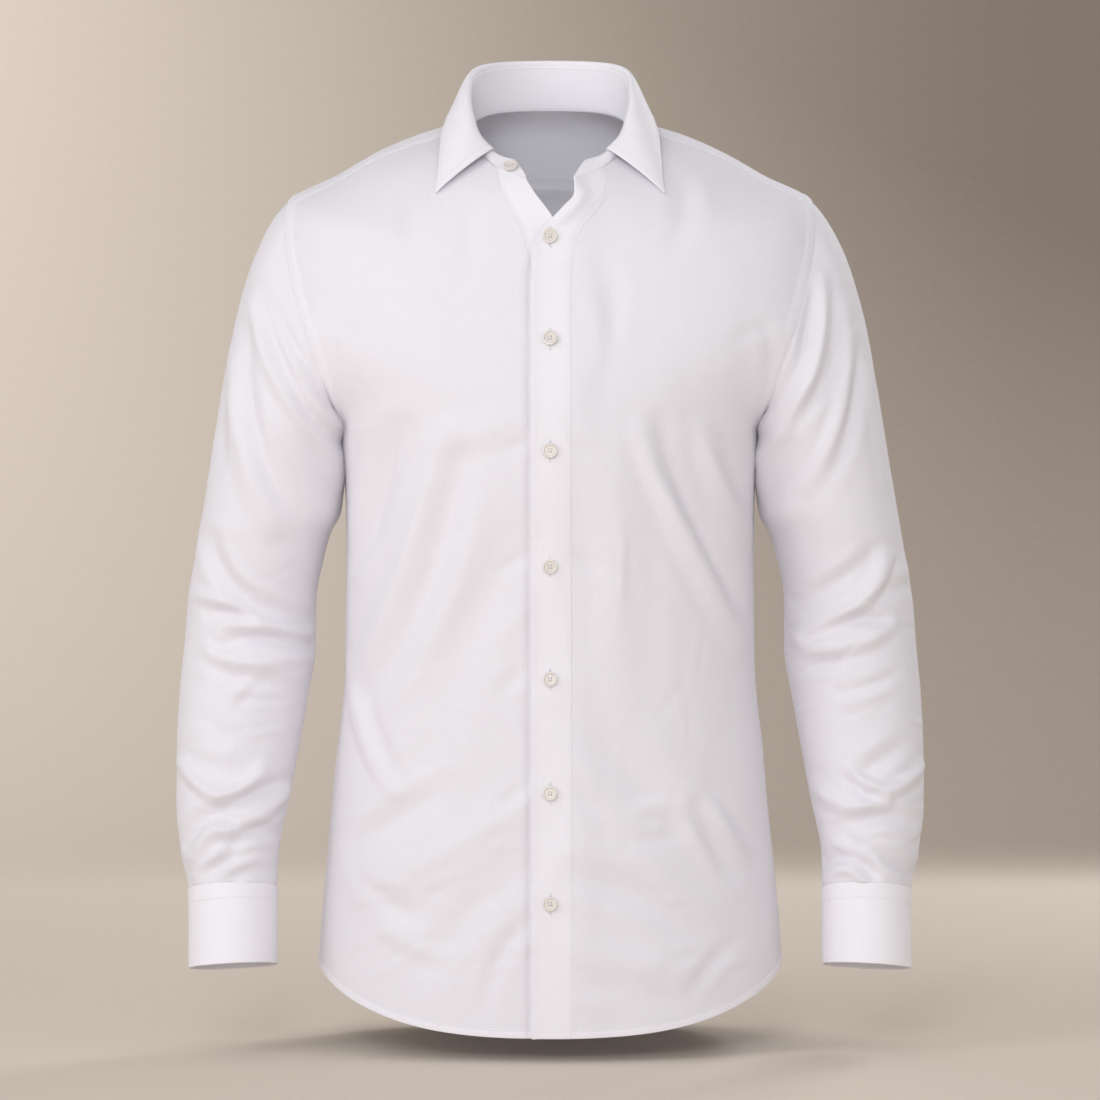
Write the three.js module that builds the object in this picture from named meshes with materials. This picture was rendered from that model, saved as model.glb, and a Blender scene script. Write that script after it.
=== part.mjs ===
// A long sleeve dress shirt, filled out with no wearer, its collar open.
// Millimetres. X runs to the wearer's left, Y to the back and Z up.
// The origin is the middle of the neck, at the height of the shoulders.
import * as THREE from 'three';

// Cloth and seams
const clothWall = 1.2;
const bandWall = 1.8;
const leafWall = 1.6;
const cuffWall = 1.8;
const seamGap = 0.4;
const layerGap = 0.5;
const armholeLift = 0.9;

// Front closing
const buttonRadius = 5.9;
const buttonDepth = 2.4;
const buttonHoleRadius = 0.85;
const buttonHoleReach = 1.7;
const buttonSides = 5;
const frontButtonHeights = [-98, -181, -270, -362, -452, -543, -631];
const overlapGap = 0.8;
const overlapLift = clothWall + overlapGap;
const overlapWidth = 22;
const overlapFade = 26;
const overlapNeckStart = -2;
const overlapNeckFade = 24;

// Seams of the body. Angles are degrees round the body, 0 at the front and 90 at the wearer's left.
const shoulderSeamAngle = 92;
const sideReachPerDegree = 2.6;
const shoulderReachPerDegree = 1.5;
const armpitLevel = -250;
const shoulderTipLevel = -75;
const frontSeamLevel = -80;
const yokeSeamLevel = -100;
const yokeSeamRise = 28;

// Hem
const hemSide = -688;
const hemFront = -738;
const hemBack = -750;
const hemFlare = 1.6;
const hemRound = 1.35;

// Box pleat in the back
const pleatHalfWidth = 19;
const pleatLift = 3.4;
const pleatSoftness = 7;
const pleatFullLevel = -150;
const pleatEndLevel = -520;

// Columns and rows of the panels
const neckCrowding = 1.35;
const panelHold = 2.2;
const yokeHold = 1;
const armShare = 0.3;
const neckColumns = 7;
const shoulderColumns = 9;
const sideRows = 20;
const frontArmRows = 9;
const backArmRows = 8;
const yokeArmFront = 1;
const yokeArmBack = 3;
const yokeBackColumns = 14;
const backColumns = 22;
const sleeveTopRows = 10;
const sleeveRowHeight = 17.5;

// Body sections from the neck to the hem: half width, depth to front and back, and the height of
// the section at its side, front and back. Square fills the corners of the section.
const bodySections = [
  { level: 0, half: 66, front: 92, back: 70, side: -2, chest: -53, spine: 23, square: 0 },
  { level: -20, half: 108, front: 97, back: 84, side: -10.5, chest: -68, spine: 14, square: 0.04 },
  { level: -35, half: 141, front: 100, back: 93, side: -21.5, chest: -80, spine: 3, square: 0.08 },
  { level: -55, half: 181, front: 104, back: 101, side: -42, chest: -95, spine: -19.5, square: 0.11 },
  { level: -75, half: 217, front: 108, back: 106, side: -60, chest: -110, spine: -43, square: 0.12 },
  { level: -92, half: 227, front: 112, back: 111, side: -80, chest: -124, spine: -66, square: 0.13 },
  { level: -125, half: 234, front: 120, back: 119, side: -120, chest: -149, spine: -106, square: 0.14 },
  { level: -160, half: 236, front: 128, back: 126, side: -158, chest: -178, spine: -149, square: 0.15 },
  { level: -200, half: 216, front: 134, back: 131, side: -200, chest: -209, spine: -196, square: 0.16 },
  { level: -225, half: 196, front: 136, back: 132, side: -225, chest: -229, spine: -223, square: 0.16 },
  { level: -240, half: 182, front: 136, back: 132, side: -240, chest: -241, spine: -239.5, square: 0.16 },
  { level: -250, half: 174, front: 136, back: 131, side: -250, chest: -250, spine: -250, square: 0.16 },
  { level: -280, half: 170.6, front: 135, back: 127, side: -280, chest: -280, spine: -280, square: 0.16 },
  { level: -320, half: 168.8, front: 132, back: 121, side: -320, chest: -320, spine: -320, square: 0.16 },
  { level: -380, half: 168.4, front: 127, back: 114, side: -380, chest: -380, spine: -380, square: 0.16 },
  { level: -450, half: 169.4, front: 125, back: 112, side: -450, chest: -450, spine: -450, square: 0.16 },
  { level: -515, half: 176, front: 125, back: 116, side: -515, chest: -515, spine: -515, square: 0.15 },
  { level: -598, half: 184, front: 127, back: 123, side: -598, chest: -598, spine: -598, square: 0.14 },
  { level: -690, half: 192, front: 129, back: 128, side: -690, chest: -690, spine: -690, square: 0.13 },
  { level: -760, half: 196, front: 130, back: 130, side: -760, chest: -760, spine: -760, square: 0.13 },
];

// How far the armhole lies from the middle, at the front and at the back.
const armholeSections = [
  { level: -75, front: 217, back: 217 },
  { level: -80, front: 216.8, back: 217.4 },
  { level: -92, front: 216.4, back: 218 },
  { level: -125, front: 209.5, back: 215.5 },
  { level: -160, front: 199.5, back: 208 },
  { level: -200, front: 186, back: 195 },
  { level: -225, front: 179, back: 184 },
  { level: -240, front: 175.6, back: 177.5 },
  { level: -250, front: 174, back: 174 },
];

// How far each front reaches past the middle towards its own side. Less than 0 crosses the middle.
const frontEdges = [
  { level: 0, right: 19, left: 19 },
  { level: -15, right: 11, left: 19.6 },
  { level: -27, right: 3.5, left: 11 },
  { level: -38, right: -2.4, left: 2.4 },
  { level: -50, right: -7, left: -5.6 },
  { level: -73, right: -12, left: -11.3 },
  { level: -105, right: -16, left: -13.8 },
  { level: -140, right: -17, left: -14 },
  { level: -760, right: -17, left: -14 },
];

// Sleeve sections, from the upper arm to the end of the cuff: outer and inner reach from the middle
// of the body, middle of the depth, half depth, and the slope that lifts the front of the section.
const sleeveSections = [
  { level: -300, outer: 285, inner: 173, middle: 0, depth: 66.5, slope: 0.02 },
  { level: -318, outer: 288, inner: 174.5, middle: 1, depth: 66, slope: 0.03 },
  { level: -335, outer: 291, inner: 182, middle: 2, depth: 64.5, slope: 0.05 },
  { level: -352, outer: 294, inner: 187.5, middle: 3, depth: 62, slope: 0.07 },
  { level: -390, outer: 300.5, inner: 194.5, middle: 3, depth: 58, slope: 0.1 },
  { level: -432, outer: 304, inner: 194.5, middle: 0, depth: 56.5, slope: 0.14 },
  { level: -473, outer: 307, inner: 201, middle: -6, depth: 54, slope: 0.18 },
  { level: -515, outer: 308, inner: 208, middle: -14, depth: 51, slope: 0.2 },
  { level: -556, outer: 307.5, inner: 215.5, middle: -23, depth: 48.5, slope: 0.21 },
  { level: -598, outer: 302.5, inner: 222.5, middle: -33, depth: 44, slope: 0.21 },
  { level: -627, outer: 295.8, inner: 223.2, middle: -40.5, depth: 40, slope: 0.22 },
  { level: -690, outer: 294.2, inner: 222.6, middle: -54, depth: 39.5, slope: 0.16 },
];
const sleeveTopLevel = -300;
const cuffTop = -627;
const cuffEnd = -688;
const cuffLean = 2;
const cuffLeanTop = -560;
const cuffProud = 0.5;
const cuffUnderEnd = -150;
const cuffOverEnd = 240;
const cuffOverStart = 194;
const cuffOverTurn = 18;
const cuffColumns = 26;
const cuffRows = 3;
const cuffButtonAngle = 226;
const cuffButtonLevel = -661;
const placketAngle = -136;
const placketWidth = 26;
const placketTop = -488;
const placketPoint = -474;
const placketFoot = 1.4;
const placketColumns = 4;
const placketRows = 8;

// The way the sleeve leaves the armhole, at its top, front, underside and back.
const sleeveStart = [
  { angle: 0, out: 0.73, back: 0, down: 0.68 },
  { angle: 45, out: 0.6, back: -0.2, down: 0.78 },
  { angle: 90, out: 0.36, back: -0.2, down: 0.9 },
  { angle: 135, out: 0.1, back: -0.05, down: 0.99 },
  { angle: 180, out: 0.02, back: 0, down: 1 },
];
const armholeMiddle = new THREE.Vector3(205, 0, -165);
const armholeStep = 0.01;
const onwardStep = 6;
const sleeveStartReach = 0.24;
const sleeveEndReach = 0.34;

// Collar band, by angle round the neck: where its top edge lies from its foot. Out is away from
// the middle, and at the front the band leans back.
const bandSections = [
  { angle: 16.7, out: 2, back: 4, rise: 4 },
  { angle: 24, out: 7, back: 18, rise: 16 },
  { angle: 32, out: 10, back: 21, rise: 16 },
  { angle: 45, out: 10, back: 19, rise: 19 },
  { angle: 65, out: 4, back: 12, rise: 28 },
  { angle: 90, out: 0, back: 3, rise: 35 },
  { angle: 120, out: 1, back: -2, rise: 37.5 },
  { angle: 180, out: 0, back: -2, rise: 38 },
];

// Collar leaf, by angle round the neck: its lower edge, how far it rises over the band and how far
// it stands off it. Lean above 0 lets it fall in a rounder line.
const leafSections = [
  { angle: 38, x: 93, y: -80, z: -61, rise: 6, bulge: 12, lean: 0.02 },
  { angle: 46, x: 91, y: -67, z: -46, rise: 8, bulge: 13, lean: 0.08 },
  { angle: 56, x: 90, y: -46, z: -27, rise: 10, bulge: 11, lean: 0.2 },
  { angle: 70, x: 89, y: -18, z: -7, rise: 12, bulge: 7, lean: 0.3 },
  { angle: 92, x: 86, y: 18, z: 9, rise: 13, bulge: 2, lean: 0.36 },
  { angle: 120, x: 77, y: 51, z: 17, rise: 13, bulge: 1, lean: 0.36 },
  { angle: 150, x: 49, y: 79, z: 19, rise: 12, bulge: 1, lean: 0.36 },
  { angle: 180, x: 0, y: 89, z: 20, rise: 12, bulge: 1, lean: 0.36 },
];
const leafRows = 6;
const leafSeamGap = 0.5;
const leafEdgeReach = 0.6;
const leafRollShare = 0.5;
const leafRowCrowding = 1.35;
const bandTabColumns = 3;
const bandSeamRise = 0.32;
const leafStartColumn = 2;
const bandRows = 2;
const collarButtonAngle = -27;
const collarButtonRise = 0.42;
const collarButtonGap = 1.4;

// Large folds, each from one place over a bend to another, in X and Z. Depth below 0 is a trough.
const frontFolds = [
  { fromX: -122, fromZ: -257, bendX: -144, bendZ: -300, toX: -157, toZ: -351, width: 13, depth: -4.5 },
  { fromX: -84, fromZ: -259, bendX: -120, bendZ: -370, toX: -151, toZ: -430, width: 18, depth: 4.5 },
  { fromX: -152, fromZ: -172, bendX: -168, bendZ: -180, toX: -175, toZ: -205, width: 11, depth: -3 },
  { fromX: -163, fromZ: -476, bendX: -156, bendZ: -515, toX: -142, toZ: -545, width: 13, depth: -3.5 },
  { fromX: -118, fromZ: -566, bendX: -136, bendZ: -572, toX: -154, toZ: -590, width: 13, depth: -3.5 },
  { fromX: -30, fromZ: -590, bendX: -32, bendZ: -650, toX: -50, toZ: -695, width: 13, depth: -2.5 },
  { fromX: 81, fromZ: -263, bendX: 106, bendZ: -310, toX: 123, toZ: -392, width: 15, depth: 4.5 },
  { fromX: 94, fromZ: -250, bendX: 112, bendZ: -285, toX: 124, toZ: -325, width: 12, depth: -3.5 },
  { fromX: 121, fromZ: -262, bendX: 142, bendZ: -300, toX: 160, toZ: -335, width: 12, depth: 4 },
  { fromX: 156, fromZ: -173, bendX: 168, bendZ: -182, toX: 172, toZ: -203, width: 11, depth: -3 },
  { fromX: 120, fromZ: -540, bendX: 138, bendZ: -560, toX: 154, toZ: -592, width: 14, depth: -3.5 },
];
const backFolds = [
  { fromX: -150, fromZ: -190, bendX: -158, bendZ: -230, toX: -163, toZ: -275, width: 14, depth: -4 },
  { fromX: -118, fromZ: -215, bendX: -140, bendZ: -290, toX: -152, toZ: -360, width: 18, depth: 4.5 },
  { fromX: -62, fromZ: -330, bendX: -68, bendZ: -420, toX: -96, toZ: -520, width: 20, depth: -4 },
  { fromX: -140, fromZ: -430, bendX: -122, bendZ: -460, toX: -92, toZ: -470, width: 15, depth: -3.5 },
  { fromX: 152, fromZ: -186, bendX: 160, bendZ: -226, toX: 162, toZ: -280, width: 14, depth: -4 },
  { fromX: 112, fromZ: -222, bendX: 136, bendZ: -300, toX: 150, toZ: -382, width: 17, depth: 4.5 },
  { fromX: 58, fromZ: -340, bendX: 72, bendZ: -440, toX: 90, toZ: -560, width: 20, depth: -4 },
  { fromX: 146, fromZ: -452, bendX: 118, bendZ: -474, toX: 84, toZ: -480, width: 15, depth: -3.5 },
];

// Sleeve folds, on the front and on the back of each arm, with X counted away from the body.
const sleeveFrontFolds = [
  { fromX: 241, fromZ: -143, bendX: 232, bendZ: -190, toX: 186, toZ: -256, width: 12, depth: -3.5 },
  { fromX: 225, fromZ: -128, bendX: 214, bendZ: -160, toX: 190, toZ: -206, width: 10, depth: -3 },
  { fromX: 253, fromZ: -167, bendX: 250, bendZ: -240, toX: 213, toZ: -316, width: 14, depth: -4 },
  { fromX: 277, fromZ: -356, bendX: 256, bendZ: -396, toX: 196, toZ: -402, width: 11, depth: -4.5 },
  { fromX: 290, fromZ: -410, bendX: 268, bendZ: -408, toX: 244, toZ: -424, width: 11, depth: 4 },
  { fromX: 278, fromZ: -428, bendX: 262, bendZ: -430, toX: 246, toZ: -416, width: 10, depth: -3 },
  { fromX: 298, fromZ: -536, bendX: 268, bendZ: -552, toX: 238, toZ: -534, width: 10, depth: 3 },
  { fromX: 284, fromZ: -562, bendX: 266, bendZ: -558, toX: 248, toZ: -546, width: 10, depth: -3.5 },
  { fromX: 276, fromZ: -571, bendX: 284, bendZ: -592, toX: 288, toZ: -614, width: 10, depth: -2.5 },
];
const sleeveBackFolds = [
  { fromX: 236, fromZ: -150, bendX: 222, bendZ: -200, toX: 190, toZ: -262, width: 13, depth: -3.5 },
  { fromX: 262, fromZ: -190, bendX: 252, bendZ: -270, toX: 222, toZ: -330, width: 14, depth: -4 },
  { fromX: 296, fromZ: -372, bendX: 250, bendZ: -384, toX: 206, toZ: -368, width: 13, depth: -4 },
  { fromX: 292, fromZ: -428, bendX: 252, bendZ: -446, toX: 212, toZ: -430, width: 12, depth: -3.5 },
  { fromX: 288, fromZ: -560, bendX: 262, bendZ: -572, toX: 238, toZ: -558, width: 11, depth: 3 },
];
const foldSteps = 8;
const foldStartShare = 0.12;
const seamHold = 16;
const sideFade = 4;

// Finishes
const cottonColour = 0xe9e6ec;
const buttonColour = 0xe6ddcf;
const cotton = new THREE.MeshStandardMaterial({ color: cottonColour, roughness: 0.82, metalness: 0 });
const shell = new THREE.MeshStandardMaterial({ color: buttonColour, roughness: 0.32, metalness: 0 });

const radians = Math.PI / 180;
const probe = 0.05;
const levelSteps = 40;

function smoothStep(value) {
  const t = Math.min(Math.max(value, 0), 1);
  return t * t * (3 - 2 * t);
}

// A smooth curve through one column of a table, with no overshoot between its rows.
function tableCurve(table, key, column) {
  const rows = [...table].sort((first, second) => first[key] - second[key]);
  const at = rows.map((row) => row[key]);
  const value = rows.map((row) => row[column]);
  const steps = at.slice(1).map((position, index) => position - at[index]);
  const rises = steps.map((step, index) => (value[index + 1] - value[index]) / step);
  const slopes = at.map((position, index) => {
    if (index === 0) return rises[0];
    if (index === at.length - 1) return rises[index - 1];
    const before = rises[index - 1];
    const after = rises[index];
    return before * after <= 0 ? 0 : (2 * before * after) / (before + after);
  });
  return (position) => {
    const last = steps.length - 1;
    let index = 0;
    while (index < last && position > at[index + 1]) index += 1;
    const t = Math.min(Math.max((position - at[index]) / steps[index], 0), 1);
    const startWeight = (1 + 2 * t) * (1 - t) * (1 - t);
    const startSlope = t * (1 - t) * (1 - t);
    const endWeight = t * t * (3 - 2 * t);
    const endSlope = t * t * (t - 1);
    return value[index] * startWeight + value[index + 1] * endWeight
      + steps[index] * (slopes[index] * startSlope + slopes[index + 1] * endSlope);
  };
}

function tableCurves(table, key) {
  const columns = Object.keys(table[0]).filter((name) => name !== key);
  return Object.fromEntries(columns.map((name) => [name, tableCurve(table, key, name)]));
}

const body = tableCurves(bodySections, 'level');
const armhole = tableCurves(armholeSections, 'level');
const frontEdge = tableCurves(frontEdges, 'level');
const sleeve = tableCurves(sleeveSections, 'level');
const sleeveWay = tableCurves(sleeveStart, 'angle');
const band = tableCurves(bandSections, 'angle');
const leaf = tableCurves(leafSections, 'angle');

// Distance to a bent fold line, as a soft bump that fades at both ends.
function foldHeight(fold, x, z) {
  let height = 0;
  for (let step = 0; step < foldSteps; step += 1) {
    const ends = [step / foldSteps, (step + 1) / foldSteps].map((t) => [
      (1 - t) * (1 - t) * fold.fromX + 2 * t * (1 - t) * fold.bendX + t * t * fold.toX,
      (1 - t) * (1 - t) * fold.fromZ + 2 * t * (1 - t) * fold.bendZ + t * t * fold.toZ,
    ]);
    const [[startX, startZ], [endX, endZ]] = ends;
    const runX = endX - startX;
    const runZ = endZ - startZ;
    const along = ((x - startX) * runX + (z - startZ) * runZ) / (runX * runX + runZ * runZ);
    const held = Math.min(Math.max(along, 0), 1);
    const away = Math.hypot(x - startX - held * runX, z - startZ - held * runZ) / fold.width;
    const place = (step + held) / foldSteps;
    const taper = Math.sin(Math.PI * (foldStartShare + (1 - 2 * foldStartShare) * place));
    height = Math.max(height, taper * Math.exp(-away * away));
  }
  return height * fold.depth;
}

function foldsAt(folds, x, z) {
  return folds.reduce((sum, fold) => sum + foldHeight(fold, x, z), 0);
}

// The plain form of the body at an angle round it and a level from the neck down.
function bodyPoint(angle, level) {
  const turn = angle * radians;
  const forward = Math.cos(turn);
  const sideways = Math.sin(turn);
  const depth = forward > 0 ? body.front(level) : body.back(level);
  const fill = 1 + body.square(level) * sideways * sideways;
  const side = body.side(level);
  const chest = body.chest(level);
  const spine = body.spine(level);
  const tilt = (chest - spine) / 2;
  const bow = (chest + spine) / 2 - side;
  return new THREE.Vector3(
    body.half(level) * sideways,
    -depth * forward * fill,
    side + tilt * forward + bow * forward * forward,
  );
}

function bodyNormal(angle, level) {
  const around = bodyPoint(angle + probe, level).sub(bodyPoint(angle - probe, level));
  const up = bodyPoint(angle, level + probe).sub(bodyPoint(angle, level - probe));
  return around.cross(up).normalize();
}

// Folds and the box pleat lift the cloth off the plain form.
function bodyLift(angle, level) {
  const point = bodyPoint(angle, level);
  const forward = Math.cos(angle * radians);
  const isBack = forward < 0;
  const reach = isBack ? armhole.back(level) : armhole.front(level);
  const held = smoothStep(Math.abs(forward) * sideFade)
    * smoothStep((reach - Math.abs(point.x)) / seamHold);
  const folds = held * foldsAt(isBack ? backFolds : frontFolds, point.x, point.z);
  if (!isBack) return folds;
  const inPleat = smoothStep((pleatHalfWidth + pleatSoftness / 2 - Math.abs(point.x)) / pleatSoftness);
  const opening = smoothStep((level - pleatEndLevel) / (pleatFullLevel - pleatEndLevel));
  const underYoke = level > yokeSeamLevel + yokeSeamRise - seamGap ? 0 : 1;
  return folds + underYoke * pleatLift * inPleat * opening;
}

// The place of the armhole, from the armpit at 0 to the tip of the shoulder at 1.
function armholePlace(part, isBack) {
  const share = (1 - Math.cos(Math.PI * part)) / 2;
  const level = armpitLevel + (shoulderTipLevel - armpitLevel) * share;
  const reach = isBack ? armhole.back(level) : armhole.front(level);
  const angle = Math.asin(Math.min(reach / body.half(level), 1)) / radians;
  return { angle: isBack ? 180 - angle : angle, level };
}

function armholePart(level) {
  const share = (level - armpitLevel) / (shoulderTipLevel - armpitLevel);
  return Math.acos(1 - 2 * share) / Math.PI;
}

const frontSeamPart = armholePart(frontSeamLevel);
const yokeSeamPart = armholePart(yokeSeamLevel);

// A closed wall between an outer and an inner grid of points, given in rows.
function wallGeometry(outer, inner, around) {
  const rows = outer.length;
  const columns = outer[0].length;
  const points = [...outer.flat(), ...inner.flat()];
  const faces = [];
  const at = (layer, row, column) => layer * rows * columns + row * columns + (column % columns);
  const quad = (a, b, c, d) => faces.push(a, b, c, a, c, d);
  const lastColumn = around ? columns : columns - 1;
  for (let row = 0; row < rows - 1; row += 1) {
    for (let column = 0; column < lastColumn; column += 1) {
      quad(at(0, row, column), at(0, row, column + 1), at(0, row + 1, column + 1), at(0, row + 1, column));
      quad(at(1, row, column), at(1, row + 1, column), at(1, row + 1, column + 1), at(1, row, column + 1));
    }
  }
  for (let column = 0; column < lastColumn; column += 1) {
    const top = rows - 1;
    quad(at(0, 0, column), at(1, 0, column), at(1, 0, column + 1), at(0, 0, column + 1));
    quad(at(0, top, column), at(0, top, column + 1), at(1, top, column + 1), at(1, top, column));
  }
  for (let row = 0; row < rows - 1 && !around; row += 1) {
    const end = columns - 1;
    quad(at(0, row, 0), at(0, row + 1, 0), at(1, row + 1, 0), at(1, row, 0));
    quad(at(0, row, end), at(1, row, end), at(1, row + 1, end), at(0, row + 1, end));
  }
  return facingOut(points, faces);
}

// Turns the faces round if the solid is inside out.
function facingOut(points, faces) {
  let volume = 0;
  for (let index = 0; index < faces.length; index += 3) {
    const [a, b, c] = [points[faces[index]], points[faces[index + 1]], points[faces[index + 2]]];
    volume += a.dot(b.clone().cross(c));
  }
  const geometry = new THREE.BufferGeometry();
  geometry.setAttribute('position', new THREE.Float32BufferAttribute(
    points.flatMap((point) => point.toArray()),
    3,
  ));
  const turned = faces.map((corner, index) => faces[index + 2 - 2 * (index % 3)]);
  geometry.setIndex(volume > 0 ? faces : turned);
  geometry.computeVertexNormals();
  return geometry;
}

function grid(columns, rows, place) {
  return Array.from({ length: rows + 1 }, (item, row) => (
    Array.from({ length: columns + 1 }, (cell, column) => place(column, row))
  ));
}

function wallFromShell(shellGrid, wall, around) {
  const outer = shellGrid.map((row) => row.map((cell) => (
    cell.point.clone().addScaledVector(cell.normal, cell.lift)
  )));
  const inner = shellGrid.map((row) => row.map((cell) => (
    cell.point.clone().addScaledVector(cell.inward ?? cell.normal, cell.lift - wall)
  )));
  return wallGeometry(outer, inner, around);
}

// A patch inside four edges. Each edge gives an angle and a level, and hold keeps the shape of
// the top edge near the top.
function patchPlace(edges, p, q, hold) {
  const mix = (name) => {
    const left = edges.left(q)[name];
    const right = edges.right(q)[name];
    const bottomStart = edges.bottom(0)[name];
    const bottomEnd = edges.bottom(1)[name];
    const topStart = edges.top(0)[name];
    const topEnd = edges.top(1)[name];
    const bottomShape = edges.bottom(p)[name] - (1 - p) * bottomStart - p * bottomEnd;
    const topShape = edges.top(p)[name] - (1 - p) * topStart - p * topEnd;
    return (1 - p) * left + p * right + (1 - q) * bottomShape + q ** hold * topShape;
  };
  return { angle: mix('angle'), level: mix('level') };
}

function hemLevel(angle) {
  const forward = Math.cos(angle * radians);
  const end = forward > 0 ? hemFront : hemBack;
  return hemSide + (end - hemSide) * (1 - (1 - Math.abs(forward) ** hemFlare) ** hemRound);
}

const seamAngle = seamGap / 2 / sideReachPerDegree;
const shoulderGapAngle = seamGap / 2 / shoulderReachPerDegree;

// Levels up the side seam and the armhole, shared by the fronts and the back.
function sidePlace(q, endPart, isBack) {
  const turn = isBack ? seamAngle : -seamAngle;
  const sidePart = 1 - armShare;
  if (q <= sidePart) {
    const share = q / sidePart;
    return { angle: 90 + turn, level: hemSide + (armpitLevel - seamGap / 2 - hemSide) * share };
  }
  const place = armholePlace(endPart * (q - sidePart) / armShare, isBack);
  return { angle: place.angle + turn, level: place.level - seamGap / 2 };
}

function rowShare(row, armRows) {
  if (row <= sideRows) return (1 - armShare) * row / sideRows;
  return 1 - armShare + armShare * (row - sideRows) / armRows;
}

const neckEndAngle = Math.asin(frontEdge.left(0) / body.half(0)) / radians;

function neckAngle(column) {
  return neckEndAngle + (shoulderSeamAngle - neckEndAngle) * column / neckColumns;
}

// One front. Side is 1 for the wearer's left and -1 for the right.
function frontShell(side) {
  const reach = side > 0 ? frontEdge.left : frontEdge.right;
  const columns = neckColumns + shoulderColumns;
  const neckPart = neckColumns / columns;
  const seamEnd = armholePlace(frontSeamPart, false);
  const edges = {
    left: (q) => {
      const above = Math.max(q - (1 - armShare), 0) / armShare;
      const below = Math.min(q / (1 - armShare), 1);
      const level = above > 0 ? armpitLevel * Math.max(1 - above, 0) ** neckCrowding - seamGap / 2 * above
        : hemFront + (armpitLevel - hemFront) * below;
      return { angle: Math.asin(reach(level) / body.half(level)) / radians, level };
    },
    right: (q) => sidePlace(q, frontSeamPart, false),
    bottom: (p) => {
      const start = Math.asin(reach(hemFront) / body.half(hemFront)) / radians;
      const angle = start + (90 - seamAngle - start) * p;
      return { angle, level: hemLevel(angle) };
    },
    top: (p) => {
      if (p <= neckPart) return { angle: neckAngle(p / neckPart * neckColumns), level: -seamGap / 2 };
      const share = (p - neckPart) / (1 - neckPart);
      return {
        angle: shoulderSeamAngle + (seamEnd.angle - shoulderSeamAngle) * share - shoulderGapAngle,
        level: frontSeamLevel * share - seamGap / 2,
      };
    },
  };
  return grid(columns, sideRows + frontArmRows, (column, row) => {
    const q = rowShare(row, frontArmRows);
    const place = patchPlace(edges, column / columns, q, panelHold);
    const angle = side * place.angle;
    const point = bodyPoint(angle, place.level);
    const over = smoothStep((overlapWidth + overlapFade - side * point.x) / overlapFade);
    const fromNeck = smoothStep((overlapNeckStart - place.level) / overlapNeckFade);
    const lift = side > 0 ? overlapLift * over * fromNeck : 0;
    return { point, normal: bodyNormal(angle, place.level), lift: lift + bodyLift(angle, place.level) };
  });
}

function yokeSeamPlace(share) {
  const end = armholePlace(yokeSeamPart, true);
  const angle = end.angle + (360 - 2 * end.angle) * share;
  const away = Math.abs(angle - 180) / (180 - end.angle);
  return { angle, level: yokeSeamLevel + yokeSeamRise * (1 - away * away) };
}

function backShell() {
  const mirror = (place) => ({ angle: 360 - place.angle, level: place.level });
  const edges = {
    left: (q) => sidePlace(q, yokeSeamPart, true),
    right: (q) => mirror(sidePlace(q, yokeSeamPart, true)),
    bottom: (p) => {
      const angle = 90 + seamAngle + (180 - 2 * seamAngle) * p;
      return { angle, level: hemLevel(angle) };
    },
    top: (p) => {
      const place = yokeSeamPlace(p);
      return { angle: place.angle, level: place.level - seamGap / 2 };
    },
  };
  return grid(backColumns, sideRows + backArmRows, (column, row) => {
    const place = patchPlace(edges, column / backColumns, rowShare(row, backArmRows), panelHold);
    const point = bodyPoint(place.angle, place.level);
    return { point, normal: bodyNormal(place.angle, place.level), lift: bodyLift(place.angle, place.level) };
  });
}

// Outer edge of the yoke: over the tip of one shoulder, along the back seam and over the other.
function yokeOuterPlace(column) {
  const armColumns = yokeArmFront + yokeArmBack;
  const columns = yokeBackColumns + 2 * armColumns;
  if (column > columns / 2) {
    const place = yokeOuterPlace(columns - column);
    return { angle: 360 - place.angle, level: place.level };
  }
  if (column <= yokeArmFront) {
    const place = armholePlace(frontSeamPart + (1 - frontSeamPart) * column / yokeArmFront, false);
    return { angle: place.angle, level: place.level + seamGap / 2 };
  }
  if (column <= armColumns) {
    const place = armholePlace(1 - (1 - yokeSeamPart) * (column - yokeArmFront) / yokeArmBack, true);
    return { angle: place.angle, level: place.level + seamGap / 2 };
  }
  const place = yokeSeamPlace((column - armColumns) / yokeBackColumns);
  return { angle: place.angle, level: place.level + seamGap / 2 };
}

function yokeShell() {
  const columns = yokeBackColumns + 2 * (yokeArmFront + yokeArmBack);
  const seamEnd = armholePlace(frontSeamPart, false);
  const seam = (q) => ({
    angle: shoulderSeamAngle + (seamEnd.angle - shoulderSeamAngle) * q + shoulderGapAngle,
    level: frontSeamLevel * q + seamGap / 2 * (2 * q - 1),
  });
  const edges = {
    left: seam,
    right: (q) => ({ angle: 360 - seam(q).angle, level: seam(q).level }),
    bottom: (p) => ({
      angle: shoulderSeamAngle + shoulderGapAngle + (360 - 2 * shoulderSeamAngle - 2 * shoulderGapAngle) * p,
      level: -seamGap / 2,
    }),
    top: (p) => yokeOuterPlace(p * columns),
  };
  return grid(columns, shoulderColumns, (column, row) => {
    const place = patchPlace(edges, column / columns, row / shoulderColumns, yokeHold);
    const point = bodyPoint(place.angle, place.level);
    return { point, normal: bodyNormal(place.angle, place.level), lift: bodyLift(place.angle, place.level) };
  });
}

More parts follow.
